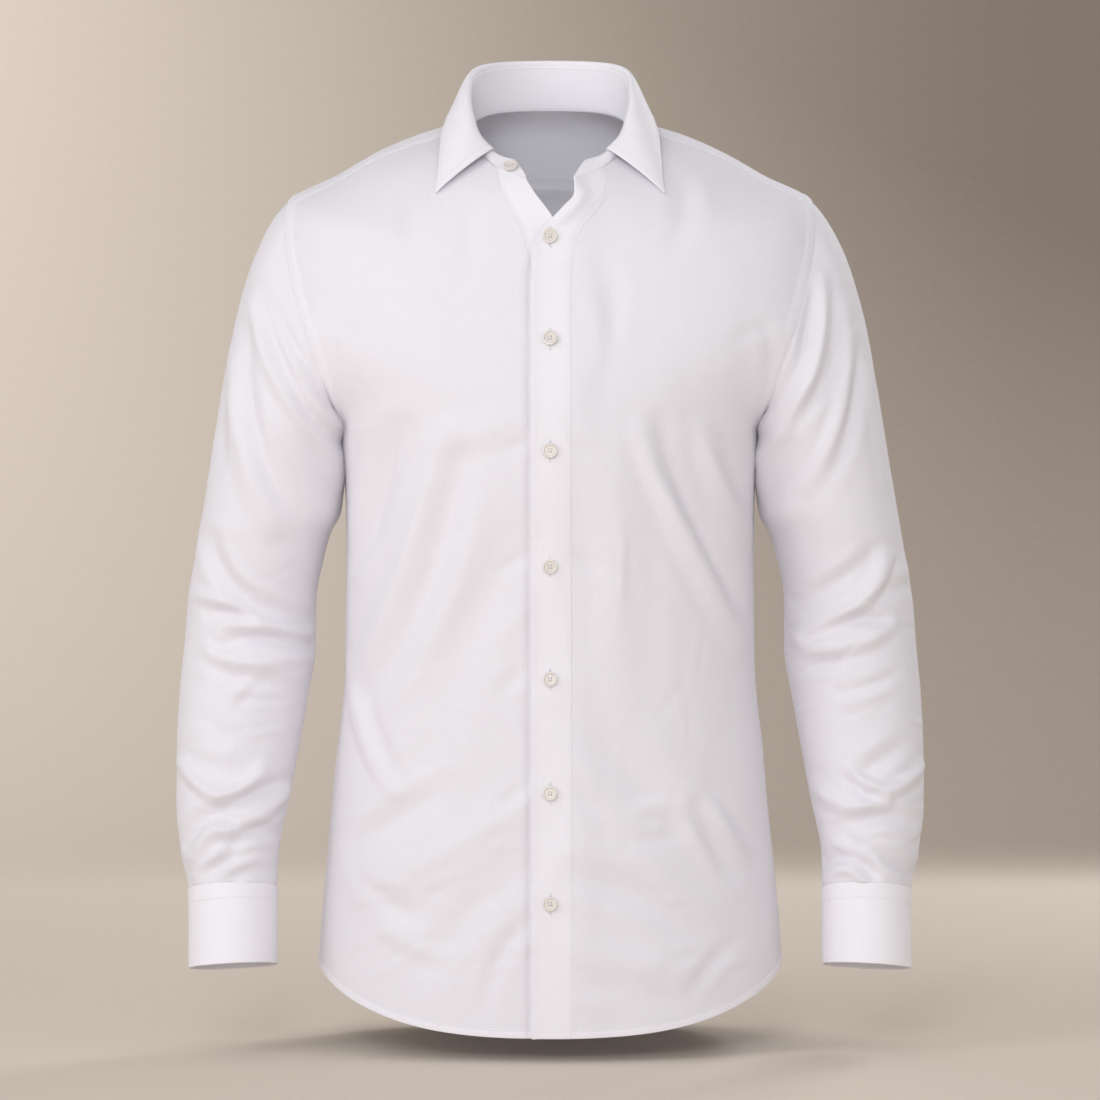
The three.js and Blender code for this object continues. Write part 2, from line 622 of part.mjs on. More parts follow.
// Places round the armhole, from the armpit up the front, over the shoulder and down the back.
function sleeveColumns() {
  const places = [];
  const add = (from, to, count, isBack) => {
    for (let step = 0; step < count; step += 1) {
      places.push({ part: from + (to - from) * step / count, isBack });
    }
  };
  add(0, frontSeamPart, frontArmRows, false);
  add(frontSeamPart, 1, yokeArmFront, false);
  add(1, yokeSeamPart, yokeArmBack, true);
  add(yokeSeamPart, 0, backArmRows, true);
  return places.map(({ part, isBack }) => {
    const angle = isBack ? -180 * (1 - part) : 180 * (1 - part);
    return { part, isBack, angle };
  });
}

// The sleeve below the upper arm: angle 0 is away from the body and 90 is the front.
function tubePoint(angle, level) {
  const outer = sleeve.outer(level);
  const inner = sleeve.inner(level);
  const turn = angle * radians;
  const toFront = sleeve.depth(level) * Math.sin(turn);
  const lean = cuffLean * smoothStep((level - cuffLeanTop) / (cuffEnd - cuffLeanTop));
  return new THREE.Vector3(
    (outer + inner) / 2 + (outer - inner) / 2 * Math.cos(turn),
    sleeve.middle(level) - toFront,
    level + toFront * sleeve.slope(level) - lean * Math.cos(turn),
  );
}


// The way out of the body's cloth at the armhole, and that cloth's own normal.
function armholeFrame(column) {
  const place = armholePlace(column.part, column.isBack);
  const point = bodyPoint(place.angle, place.level);
  const normal = bodyNormal(place.angle, place.level);
  const held = Math.min(Math.max(column.part, armholeStep), 1 - armholeStep);
  const before = armholePlace(held - armholeStep, column.isBack);
  const after = armholePlace(held + armholeStep, column.isBack);
  const along = bodyPoint(after.angle, after.level).sub(bodyPoint(before.angle, before.level)).normalize();
  const out = along.cross(normal).normalize();
  if (out.dot(armholeMiddle.clone().sub(point)) < 0) out.negate();
  return { point, normal, out };
}

function sleeveCurve(column) {
  const frame = armholeFrame(column);
  const start = frame.point.clone()
    .addScaledVector(frame.normal, armholeLift)
    .addScaledVector(frame.out, seamGap);
  const end = tubePoint(column.angle, sleeveTopLevel);
  const onward = tubePoint(column.angle, sleeveTopLevel - onwardStep).sub(end).normalize();
  const span = start.distanceTo(end);
  const turn = Math.abs(column.angle);
  const away = new THREE.Vector3(
    sleeveWay.out(turn),
    sleeveWay.back(turn) * Math.sign(column.angle),
    -sleeveWay.down(turn),
  ).normalize();
  return new THREE.CubicBezierCurve3(
    start,
    start.clone().addScaledVector(away, span * sleeveStartReach),
    end.clone().addScaledVector(onward, -span * sleeveEndReach),
    end,
  );
}

// A point of the sleeve: travel runs from 0 at the armhole to 1 at the upper arm, then on in levels.
function sleevePoint(column, travel) {
  if (travel <= 1) return sleeveCurve(column).getPoint(travel);
  const level = sleeveTopLevel + (travel - 1) * (cuffTop + seamGap - sleeveTopLevel);
  return tubePoint(column.angle, level);
}

function sleeveLift(point, angle) {
  const forward = Math.sin(angle * radians);
  const front = smoothStep(forward * sideFade) * foldsAt(sleeveFrontFolds, point.x, point.z);
  const back = smoothStep(-forward * sideFade) * foldsAt(sleeveBackFolds, point.x, point.z);
  return front + back;
}

function mirrored(point, side) {
  return new THREE.Vector3(side * point.x, point.y, point.z);
}

function sleeveShell(side) {
  const columns = sleeveColumns();
  const tubeRows = Math.round((sleeveTopLevel - cuffTop) / sleeveRowHeight);
  const count = columns.length;
  const travels = [
    ...Array.from({ length: sleeveTopRows }, (item, row) => row / sleeveTopRows),
    ...Array.from({ length: tubeRows + 1 }, (item, row) => 1 + row / tubeRows),
  ];
  const points = travels.map((travel) => columns.map((column) => sleevePoint(column, travel)));
  return points.map((row, index) => row.map((point, place) => {
    const before = points[Math.max(index - 1, 0)][place];
    const after = points[Math.min(index + 1, points.length - 1)][place];
    const down = after.clone().sub(before);
    const around = row[(place + 1) % count].clone().sub(row[(place + count - 1) % count]);
    const normal = down.cross(around).normalize();
    const middle = row.reduce((sum, other) => sum.add(other), new THREE.Vector3()).divideScalar(count);
    if (normal.dot(point.clone().sub(middle)) < 0) normal.negate();
    let inward = normal.clone();
    if (index === 0) {
      const { out } = armholeFrame(columns[place]);
      inward.addScaledVector(out, -Math.max(inward.dot(out), 0)).normalize();
    }
    inward = mirrored(inward, side);
    const lift = index === 0 ? 0 : sleeveLift(point, columns[place].angle);
    return { point: mirrored(point, side), normal: mirrored(normal, side), inward, lift };
  }));
}

function tubeNormal(angle, level) {
  const around = tubePoint(angle + probe, level).sub(tubePoint(angle - probe, level));
  const up = tubePoint(angle, level + probe).sub(tubePoint(angle, level - probe));
  return up.cross(around).normalize();
}

// The cuff goes once round and its end lies over its start, at the back of the arm.
function cuffLift(angle) {
  const over = smoothStep((angle - cuffOverStart) / cuffOverTurn);
  return cuffProud + over * (cuffWall + layerGap);
}

function cuffShell(side) {
  return grid(cuffColumns, cuffRows, (column, row) => {
    const angle = cuffUnderEnd + (cuffOverEnd - cuffUnderEnd) * column / cuffColumns;
    const level = cuffTop - seamGap + (cuffEnd - cuffTop + seamGap) * row / cuffRows;
    return {
      point: mirrored(tubePoint(angle, level), side),
      normal: mirrored(tubeNormal(angle, level), side),
      lift: cuffLift(angle),
    };
  });
}

// The strip along the sleeve opening, with a pointed top.
function placketShell(side) {
  return grid(placketColumns, placketRows, (column, row) => {
    const across = column / placketColumns - 0.5;
    const point = placketTop + (placketPoint - placketTop) * (1 - Math.abs(across) * 2);
    const foot = cuffTop + placketFoot;
    const level = foot + (point - foot) * row / placketRows;
    const radius = (sleeve.depth(level) + (sleeve.outer(level) - sleeve.inner(level)) / 2) / 2;
    const angle = placketAngle + across * placketWidth / radius / radians;
    const base = tubePoint(angle, level);
    return {
      point: mirrored(base, side),
      normal: mirrored(tubeNormal(angle, level), side),
      lift: sleeveLift(base, angle) + clothWall + layerGap,
    };
  });
}

// Angles of the band's columns. The first stretch at each end is cut finer for the rounded tab.
function bandColumns() {
  const front = [];
  for (let column = 0; column < neckColumns; column += 1) {
    const parts = column === 0 ? bandTabColumns : 1;
    for (let part = 0; part < parts; part += 1) front.push({ from: column, share: part / parts });
  }
  const yokeColumns = yokeBackColumns + 2 * (yokeArmFront + yokeArmBack);
  const turn = (360 - 2 * shoulderSeamAngle) / yokeColumns;
  const frontAngles = front.map(({ from, share }) => (
    neckAngle(from) + (neckAngle(from + 1) - neckAngle(from)) * share
  ));
  const backAngles = Array.from({ length: yokeColumns + 1 }, (item, step) => shoulderSeamAngle + turn * step);
  return [...frontAngles, ...backAngles, ...frontAngles.map((angle) => 360 - angle).reverse()];
}

// Foot and top edge of the band at an angle from 0 to 360.
function bandEdges(angle) {
  const half = angle > 180 ? 360 - angle : angle;
  const turn = angle * radians;
  const foot = bodyPoint(angle, 0);
  foot.z += bandSeamRise;
  const out = new THREE.Vector3(Math.sin(turn), 0, 0);
  const top = foot.clone()
    .addScaledVector(out, band.out(half))
    .add(new THREE.Vector3(0, band.back(half), band.rise(half)));
  return { foot, top, half };
}

function bandNormal(angle) {
  const { foot, top } = bandEdges(angle);
  const around = bandEdges(angle + 1).foot.sub(bandEdges(angle - 1).foot);
  return around.cross(top.sub(foot)).normalize();
}

function bandShell() {
  const angles = bandColumns();
  return grid(angles.length - 1, bandRows, (column, row) => {
    const angle = angles[column];
    const { foot, top } = bandEdges(angle);
    const normal = bandNormal(angle);
    const inward = normal.clone();
    if (row === 0) {
      const up = bodyPoint(angle, 0).sub(bodyPoint(angle, -probe)).normalize();
      inward.addScaledVector(up, -Math.max(inward.dot(up), 0)).normalize();
    }
    return { point: foot.lerp(top, row / bandRows), normal, inward, lift: 0 };
  });
}

// The leaf rises from the band's top edge, rolls over and falls to its lower edge.
function leafCurve(angle) {
  const { top, half } = bandEdges(angle);
  const side = angle > 180 ? -1 : 1;
  const along = bandEdges(angle + 1).top.sub(bandEdges(angle - 1).top);
  const up = bandNormal(angle).cross(along).normalize();
  const edge = new THREE.Vector3(side * leaf.x(half), leaf.y(half), leaf.z(half));
  const start = top.clone().addScaledVector(up, leafSeamGap);
  const fall = start.clone().sub(edge);
  fall.z += fall.length() * leaf.lean(half);
  const off = bandNormal(angle).setZ(0).setLength(leaf.bulge(half));
  return new THREE.CubicBezierCurve3(
    start,
    start.clone().addScaledVector(up, leaf.rise(half)).addScaledVector(off, leafRollShare),
    edge.clone().addScaledVector(fall.normalize(), start.distanceTo(edge) * leafEdgeReach).add(off),
    edge,
  );
}

function leafShell() {
  const tab = bandTabColumns + leafStartColumn - 1;
  const angles = bandColumns().slice(tab, -tab);
  const points = Array.from({ length: leafRows + 1 }, (item, row) => (
    angles.map((angle) => leafCurve(angle).getPoint((row / leafRows) ** leafRowCrowding))
  ));
  return points.map((row, index) => row.map((point, place) => {
    const before = points[Math.max(index - 1, 0)][place];
    const after = points[Math.min(index + 1, leafRows)][place];
    const along = after.clone().sub(before);
    const around = row[Math.min(place + 1, row.length - 1)].clone().sub(row[Math.max(place - 1, 0)]);
    const normal = around.cross(along).normalize();
    if (index === 0) normal.copy(bandNormal(angles[place]));
    return { point, normal, lift: 0 };
  }));
}

function buttonGeometry() {
  const face = new THREE.Shape();
  face.absarc(0, 0, buttonRadius, 0, 2 * Math.PI);
  for (let hole = 0; hole < 4; hole += 1) {
    const turn = (hole + 0.5) * Math.PI / 2;
    const path = new THREE.Path();
    const across = buttonHoleReach * Math.cos(turn);
    const along = buttonHoleReach * Math.sin(turn);
    path.absarc(across, along, buttonHoleRadius, 0, 2 * Math.PI, true);
    face.holes.push(path);
  }
  const thickness = { depth: buttonDepth, bevelEnabled: false, curveSegments: buttonSides };
  return new THREE.ExtrudeGeometry(face, thickness);
}

const shirt = new THREE.Group();

function addPiece(name, geometry, material) {
  const piece = new THREE.Mesh(geometry, material);
  piece.name = name;
  shirt.add(piece);
  return piece;
}

// A button whose back lies just off the cloth at a point, facing along the normal.
function addButton(name, point, normal, gap) {
  const button = addPiece(name, buttonGeometry(), shell);
  button.position.copy(point.clone().addScaledVector(normal, gap));
  button.quaternion.setFromUnitVectors(new THREE.Vector3(0, 0, 1), normal);
}

function levelAtFront(height) {
  let low = armpitLevel;
  let high = 0;
  if (height <= armpitLevel) return height;
  for (let step = 0; step < levelSteps; step += 1) {
    const middle = (low + high) / 2;
    if (body.chest(middle) < height) low = middle;
    else high = middle;
  }
  return (low + high) / 2;
}

addPiece('front_right', wallFromShell(frontShell(-1), clothWall, false), cotton);
addPiece('front_left', wallFromShell(frontShell(1), clothWall, false), cotton);
addPiece('back', wallFromShell(backShell(), clothWall, false), cotton);
addPiece('yoke', wallFromShell(yokeShell(), clothWall, false), cotton);
addPiece('collar_band', wallFromShell(bandShell(), bandWall, false), cotton);
addPiece('collar_leaf', wallFromShell(leafShell(), leafWall, false), cotton);

for (const [hand, side] of [['right', -1], ['left', 1]]) {
  addPiece(`sleeve_${hand}`, wallFromShell(sleeveShell(side), clothWall, true), cotton);
  addPiece(`placket_${hand}`, wallFromShell(placketShell(side), clothWall, false), cotton);
  addPiece(`cuff_${hand}`, wallFromShell(cuffShell(side), cuffWall, false), cotton);
  const normal = tubeNormal(cuffButtonAngle, cuffButtonLevel);
  const point = tubePoint(cuffButtonAngle, cuffButtonLevel);
  point.addScaledVector(normal, cuffLift(cuffButtonAngle));
  addButton(`button_cuff_${hand}`, mirrored(point, side), mirrored(normal, side), layerGap);
}

frontButtonHeights.forEach((height, index) => {
  const level = levelAtFront(height);
  const normal = bodyNormal(0, level);
  const lift = overlapLift + bodyLift(0, level);
  const point = bodyPoint(0, level).addScaledVector(normal, lift);
  addButton(`button_front_${index + 1}`, point, normal, layerGap);
});

const collarButtonPlace = bandEdges(collarButtonAngle + 360);
addButton(
  'button_collar',
  collarButtonPlace.foot.lerp(collarButtonPlace.top, collarButtonRise),
  bandNormal(collarButtonAngle + 360),
  collarButtonGap,
);

export default shirt;
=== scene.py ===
import math
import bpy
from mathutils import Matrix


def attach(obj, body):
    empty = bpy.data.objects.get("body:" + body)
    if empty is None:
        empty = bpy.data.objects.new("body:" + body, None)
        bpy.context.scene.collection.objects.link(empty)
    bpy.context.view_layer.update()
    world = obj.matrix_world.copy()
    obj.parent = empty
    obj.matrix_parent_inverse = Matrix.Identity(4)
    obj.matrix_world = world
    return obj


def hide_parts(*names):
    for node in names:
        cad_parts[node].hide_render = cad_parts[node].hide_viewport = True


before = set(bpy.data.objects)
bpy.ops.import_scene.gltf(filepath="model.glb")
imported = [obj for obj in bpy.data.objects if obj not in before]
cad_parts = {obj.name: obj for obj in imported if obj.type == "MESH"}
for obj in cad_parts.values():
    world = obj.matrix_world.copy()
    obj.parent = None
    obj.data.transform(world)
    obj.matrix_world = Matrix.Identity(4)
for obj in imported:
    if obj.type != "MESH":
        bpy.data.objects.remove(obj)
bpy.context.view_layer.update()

from types import SimpleNamespace

import bmesh
import bpy
import numpy as np
from mathutils import Matrix, Vector, noise
from mathutils.kdtree import KDTree

# The shirt's form is worked out in millimetres, as its pattern is, and its meshes get metres.
# X runs to the wearer's left, Y to the back and Z up, from the middle of the neck.
mm = 0.001

# Walls of the cloth, and the gaps at its seams
cloth = {
    "wall": 0.5,
    "bandWall": 1.2,
    "leafWall": 1.1,
    "cuffWall": 1.4,
    "seamGap": 0.14,
    "layerGap": 0.5,
    "armholeLift": -0.1,
    "doubledShare": 0.7,     # how much thicker doubled cloth is
    "rimRound": 0.45,        # how far a wall's edge bulges, as a share of the wall
}


def tableRows(columns, rows):
    return [dict(zip(columns, row)) for row in rows]


def smoothStep(value):
    t = np.clip(value, 0, 1)
    return t * t * (3 - 2 * t)


# A smooth curve through one column of a table, with no overshoot between its rows
def tableCurve(table, key, column):
    rows = sorted(table, key=lambda row: row[key])
    at = np.array([row[key] for row in rows], float)
    value = np.array([row[column] for row in rows], float)
    steps = np.diff(at)
    rises = np.diff(value) / steps
    slopes = np.zeros(len(at))
    slopes[0], slopes[-1] = rises[0], rises[-1]
    for index in range(1, len(at) - 1):
        before, after = rises[index - 1], rises[index]
        if before * after > 0:
            slopes[index] = 2 * before * after / (before + after)

    def curve(position):
        index = np.clip(np.searchsorted(at, position) - 1, 0, len(steps) - 1)
        t = np.clip((position - at[index]) / steps[index], 0, 1)
        startWeight = (1 + 2 * t) * (1 - t) ** 2
        endWeight = t * t * (3 - 2 * t)
        bend = slopes[index] * t * (1 - t) ** 2 + slopes[index + 1] * t * t * (t - 1)
        return value[index] * startWeight + value[index + 1] * endWeight + steps[index] * bend

    return curve


def tableCurves(table, key):
    names = [name for name in table[0] if name != key]
    return SimpleNamespace(**{name: tableCurve(table, key, name) for name in names})


def unit(vectors):
    length = np.linalg.norm(vectors, axis=-1, keepdims=True)
    return vectors / np.maximum(length, 1e-9)


def mirrored(points, side):
    return points * np.array([side, 1, 1])


# Folds. Each runs from one place over a bend to another, in X and Z. Depth below 0 is a trough.
folding = {
    "steps": 10,
    "startShare": 0.12,      # how much of a fold's depth is left at its ends
    "sideShare": 0.28,       # the cloth beside a fold swings the other way by this share
    "sideAway": 1.75,
    "sideSoftness": 0.7,
    "sharpness": 1.65,       # 2 is a round fold, and less is a sharper one
    "widthShare": 0.9,
    "depthShare": 1.3,
    "seamHold": 16,          # folds die out this far from an armhole
    "sideFade": 4,
    "wander": 1.6,           # folds wander by this much off their line
    "reach": 3.4,            # past this many widths a fold is too shallow to count
}
foldColumns = ("fromX", "fromZ", "bendX", "bendZ", "toX", "toZ", "width", "depth")


def foldHeight(fold, x, z):
    nearest = np.full(x.shape, 9.0)
    place = np.zeros(x.shape)
    for step in range(folding["steps"]):
        ends = []
        for t in (step / folding["steps"], (step + 1) / folding["steps"]):
            early, middle, late = (1 - t) ** 2, 2 * t * (1 - t), t * t
            ends.append((
                early * fold["fromX"] + middle * fold["bendX"] + late * fold["toX"],
                early * fold["fromZ"] + middle * fold["bendZ"] + late * fold["toZ"],
            ))
        (startX, startZ), (endX, endZ) = ends
        runX, runZ = endX - startX, endZ - startZ
        held = np.clip(((x - startX) * runX + (z - startZ) * runZ) / (runX ** 2 + runZ ** 2), 0, 1)
        away = np.hypot(x - startX - held * runX, z - startZ - held * runZ)
        away = away / (fold["width"] * folding["widthShare"])
        place = np.where(away < nearest, (step + held) / folding["steps"], place)
        nearest = np.minimum(nearest, away)
    start = folding["startShare"]
    taper = np.sin(np.pi * (start + (1 - 2 * start) * place))
    beside = np.exp(-((nearest - folding["sideAway"]) / folding["sideSoftness"]) ** 2)
    ridge = np.exp(-nearest ** folding["sharpness"])
    return fold["depth"] * folding["depthShare"] * taper * (ridge - folding["sideShare"] * beside)


# All the folds of a table that reach each place
def foldsAt(folds, x, z):
    x, z = np.broadcast_arrays(x, z)
    bentX = x + folding["wander"] * (np.sin(z / 23 + 1.3) * 0.6 + np.sin((x + z) / 37) * 0.7)
    bentZ = z + folding["wander"] * (np.sin(x / 19 + 0.4) * 0.5 + np.sin((x - z) / 41) * 0.7)
    height = np.zeros(x.shape)
    for fold in folds:
        reach = fold["width"] * folding["reach"]
        inX = (bentX > min(fold["fromX"], fold["bendX"], fold["toX"]) - reach)
        inX &= (bentX < max(fold["fromX"], fold["bendX"], fold["toX"]) + reach)
        inZ = (bentZ > min(fold["fromZ"], fold["bendZ"], fold["toZ"]) - reach)
        inZ &= (bentZ < max(fold["fromZ"], fold["bendZ"], fold["toZ"]) + reach)
        near = inX & inZ
        height[near] += foldHeight(fold, bentX[near], bentZ[near])
    return height


# Soft unevenness of cloth that was pressed and then worn. Sizes are along X, Y and Z.
unevenForms = (
    {"size": (46, 60, 85), "depth": 0.75},
    {"size": (17, 26, 30), "depth": 0.3},
    {"size": (7, 9, 11), "depth": 0.07},
)


def unevenness(points):
    height = np.zeros(points.shape[:-1])
    for form in unevenForms:
        spots = (points.reshape(-1, 3) / np.array(form["size"])).tolist()
        height += form["depth"] * np.array([noise.noise(spot) for spot in spots]).reshape(height.shape)
    return height


# Body sections from the neck to the hem: half width, depth to front and back, and the height of
# the section at its side, front and back. Square fills the section's corners.
bodySections = tableRows(
    ("level", "half", "front", "back", "side", "chest", "spine", "square"),
    [
        (0, 66, 92, 70, -2, -53, 23, 0),
        (-20, 108, 97, 84, -10.5, -68, 14, 0.04),
        (-35, 141, 100, 93, -21.5, -80, 3, 0.08),
        (-55, 181, 104, 101, -42, -95, -19.5, 0.11),
        (-75, 217, 108, 106, -60, -110, -43, 0.12),
        (-92, 227, 112, 111, -80, -124, -66, 0.13),
        (-125, 234, 120, 119, -120, -149, -106, 0.14),
        (-160, 236, 128, 126, -158, -178, -149, 0.15),
        (-200, 216, 134, 131, -200, -209, -196, 0.16),
        (-225, 196, 136, 132, -225, -229, -223, 0.16),
        (-240, 182, 136, 132, -240, -241, -239.5, 0.16),
        (-250, 174, 136, 131, -250, -250, -250, 0.16),
        (-280, 170.6, 135, 127, -280, -280, -280, 0.16),
        (-320, 168.8, 132, 121, -320, -320, -320, 0.16),
        (-380, 168.4, 127, 114, -380, -380, -380, 0.16),
        (-450, 169.4, 125, 112, -450, -450, -450, 0.16),
        (-515, 176, 125, 116, -515, -515, -515, 0.15),
        (-598, 184, 127, 123, -598, -598, -598, 0.14),
        (-690, 192, 129, 128, -690, -690, -690, 0.13),
        (-760, 196, 130, 130, -760, -760, -760, 0.13),
    ],
)

# How far the armhole lies from the middle, at the front and at the back
armholeSections = tableRows(
    ("level", "front", "back"),
    [
        (-75, 217, 217),
        (-80, 216.8, 217.4),
        (-92, 216.4, 218),
        (-125, 209.5, 215.5),
        (-160, 199.5, 208),
        (-200, 186, 195),
        (-225, 179, 184),
        (-240, 175.6, 177.5),
        (-250, 174, 174),
    ],
)

# How far each front reaches past the middle towards its own side. Less than 0 crosses the middle.
frontEdges = tableRows(
    ("level", "right", "left"),
    [
        (0, 19, 19),
        (-15, 11, 19.6),
        (-27, 3.5, 11),
        (-38, -2.4, 2.4),
        (-50, -7, -5.6),
        (-73, -12, -11.3),
        (-105, -16, -13.8),
        (-140, -17, -14),
        (-760, -17, -14),
    ],
)

body = tableCurves(bodySections, "level")
armhole = tableCurves(armholeSections, "level")
frontEdge = tableCurves(frontEdges, "level")

seams = {
    "shoulderAngle": 92,
    "sideReachPerDegree": 2.6,
    "shoulderReachPerDegree": 1.5,
    "armpitLevel": -250,
    "tipLevel": -75,
    "frontSeamLevel": -80,
    "yokeSeamLevel": -100,
    "yokeSeamRise": 28,
    "armShare": 0.3,
    "neckCrowding": 1.35,
    "panelHold": 2.2,
    "yokeHold": 1,
    "neckColumns": 7,
    "shoulderColumns": 9,
    "sideRows": 20,
    "frontArmRows": 9,
    "backArmRows": 8,
    "yokeArmFront": 1,
    "yokeArmBack": 3,
    "yokeBackColumns": 14,
    "backColumns": 22,
}
seamAngle = cloth["seamGap"] / 2 / seams["sideReachPerDegree"]
shoulderGapAngle = cloth["seamGap"] / 2 / seams["shoulderReachPerDegree"]

hem = {"side": -688, "front": -738, "back": -750, "flare": 1.6, "round": 1.35}
pleat = {
    "half": 19,
    "lift": 3.4,
    "softness": 5,
    "seamFade": 12,
    "fullLevel": -150,
    "endLevel": -520,
}
overlap = {"lift": 1.2 + 0.8, "width": 22, "fade": 26, "neckStart": -2, "neckFade": 24}

rightFrontFolds = tableRows(foldColumns, [
    (-82, -253, -116, -370, -152, -446, 12, 5),
    (-121, -252, -136, -320, -158, -356, 11, -5.5),
    (-72, -280, -88, -400, -145, -458, 13, -4),
    (-46, -300, -92, -400, -132, -452, 17, 2.5),
    (-22, -345, -78, -430, -96, -520, 17, -2.6),
    (-164, -446, -150, -510, -124, -542, 8, 3.5),
    (-150, -474, -142, -512, -126, -534, 8, -3.5),
    (-84, -541, -124, -566, -163, -597, 11, -4),
    (-19, -550, -80, -596, -157, -625, 16, 2.6),
    (-19, -602, -72, -632, -100, -686, 14, -2.6),
    (-19, -645, -44, -668, -53, -720, 8, -2),
    (-176, -168, -182, -196, -177, -212, 7, -1.8),
    (-178, -166, -160, -168, -152, -178, 6, -0.9),
    (-98, -38, -122, -70, -110, -96, 11, -2.2),
    (-66, -70, -60, -92, -66, -118, 9, -1.2),
    (-150, -620, -120, -640, -96, -640, 8, -1.6),
    (-140, -650, -110, -668, -80, -672, 8, 1.4),
    (-30, -246, -60, -262, -96, -262, 12, 1.4),
    (-22, -262, -24, -268, -34, -272, 6, -1.4),
    (-22, -352, -26, -358, -38, -366, 6, -1.4),
    (-22, -444, -26, -452, -38, -462, 6, -1.4),
    (-22, -536, -28, -548, -42, -556, 6, -1.6),
])
leftFrontFolds = tableRows(foldColumns, [
    (78, -252, 96, -330, 156, -424, 10, 5),
    (86, -250, 110, -312, 150, -382, 11, -5.5),
    (122, -252, 134, -296, 160, -336, 9, 4.5),
    (112, -262, 124, -300, 140, -330, 7, -2.5),
    (51, -262, 50, -360, 46, -460, 20, 2.2),
    (24, -290, 34, -400, 38, -470, 15, -1.6),
    (20, -478, 84, -536, 120, -610, 18, -3.2),
    (130, -556, 142, -578, 158, -596, 8, 3.2),
    (121, -556, 134, -586, 148, -610, 8, -4),
    (24, -606, 82, -628, 126, -664, 13, -3),
    (22, -664, 70, -690, 120, -684, 15, 2),
    (148, -664, 130, -676, 114, -702, 7, -2),
    (100, -560, 86, -552, 70, -556, 7, 1.8),
    (60, -576, 84, -586, 104, -580, 6, -1.4),
    (60, -348, 62, -372, 61, -404, 3, -0.8),
    (54, -326, 57, -360, 56, -388, 3, 0.7),
    (66, -370, 68, -392, 66, -410, 3, -0.6),
    (176, -170, 183, -196, 177, -212, 7, -1.8),
    (178, -166, 160, -170, 146, -180, 7, -1),
    (100, -40, 118, -70, 102, -98, 11, -2),
    (34, -150, 44, -176, 38, -200, 8, 1.2),
    (40, -120, 62, -150, 44, -186, 9, -1.2),
    (20, -262, 26, -268, 36, -272, 6, -1.2),
    (20, -352, 26, -358, 36, -366, 6, -1.2),
    (20, -536, 27, -548, 38, -556, 6, -1.4),
])


# Small wrinkles left by wear, scattered over a stretch of cloth. Ways are in degrees from level.
def smallWrinkles(seed, stretch):
    chance = np.random.default_rng(seed)
    rows = []
    for number in range(stretch["count"]):
        x = chance.uniform(*stretch["x"])
        z = chance.uniform(*stretch["z"])
        way = math.radians(chance.normal(stretch["way"], stretch["waySpread"]))
        half = chance.uniform(*stretch["length"]) / 2
        bend = chance.normal(0, 0.18) * half
        acrossX, acrossZ = math.cos(way) * half, math.sin(way) * half
        depth = chance.uniform(*stretch["depth"]) * (1 if number % 2 else -1)
        rows.append((
            x - acrossX, z - acrossZ, x - bend * math.sin(way), z + bend * math.cos(way),
            x + acrossX, z + acrossZ, chance.uniform(*stretch["width"]), depth,
        ))
    return tableRows(foldColumns, rows)


wrinkled = {
    "rightLow": {"count": 34, "x": (-172, -24), "z": (-715, -560), "way": 24, "waySpread": 22,
                 "length": (16, 52), "width": (2.6, 5), "depth": (0.25, 0.75)},
    "rightMiddle": {"count": 16, "x": (-150, -24), "z": (-560, -330), "way": 40, "waySpread": 30,
                    "length": (16, 60), "width": (3, 6), "depth": (0.2, 0.5)},
    "leftLow": {"count": 30, "x": (22, 174), "z": (-715, -560), "way": -22, "waySpread": 22,
                "length": (16, 52), "width": (2.6, 5), "depth": (0.25, 0.7)},
    "leftMiddle": {"count": 20, "x": (40, 150), "z": (-560, -300), "way": -76, "waySpread": 20,
                   "length": (16, 70), "width": (2.4, 5), "depth": (0.2, 0.55)},
    "backLow": {"count": 48, "x": (-170, 170), "z": (-730, -540), "way": 10, "waySpread": 34,
                "length": (16, 56), "width": (2.8, 5.4), "depth": (0.25, 0.7)},
    "arm": {"count": 30, "x": (182, 300), "z": (-610, -360), "way": 6, "waySpread": 26,
            "length": (14, 44), "width": (2.2, 4.4), "depth": (0.25, 0.8)},
}
rightFrontFolds += smallWrinkles(3, wrinkled["rightLow"]) + smallWrinkles(4, wrinkled["rightMiddle"])
leftFrontFolds += smallWrinkles(5, wrinkled["leftLow"]) + smallWrinkles(6, wrinkled["leftMiddle"])
frontFolds = rightFrontFolds + leftFrontFolds
backFolds = tableRows(foldColumns, [
    (-150, -190, -158, -230, -163, -275, 10, -4),
    (-118, -215, -140, -290, -152, -360, 13, 5),
    (-96, -232, -124, -330, -146, -404, 10, -4),
    (-62, -330, -68, -420, -96, -520, 15, -4),
    (-140, -430, -122, -460, -92, -470, 10, -4),
    (-152, -448, -120, -486, -84, -492, 9, 3),
    (-40, -540, -70, -600, -120, -640, 14, -3),
    (-20, -300, -30, -420, -34, -520, 16, 2.4),
    (-130, -600, -100, -650, -60, -670, 12, 2),
    (152, -186, 160, -226, 162, -280, 10, -4),
    (112, -222, 136, -300, 150, -382, 13, 5),
    (92, -236, 118, -330, 142, -410, 10, -4),
    (58, -340, 72, -440, 90, -560, 15, -4),
    (146, -452, 118, -474, 84, -480, 10, -4),
    (154, -470, 122, -498, 78, -500, 9, 3),
    (36, -560, 66, -616, 118, -650, 14, -3),
    (24, -310, 30, -430, 30, -520, 16, 2.2),
])
backFolds += smallWrinkles(7, wrinkled["backLow"])


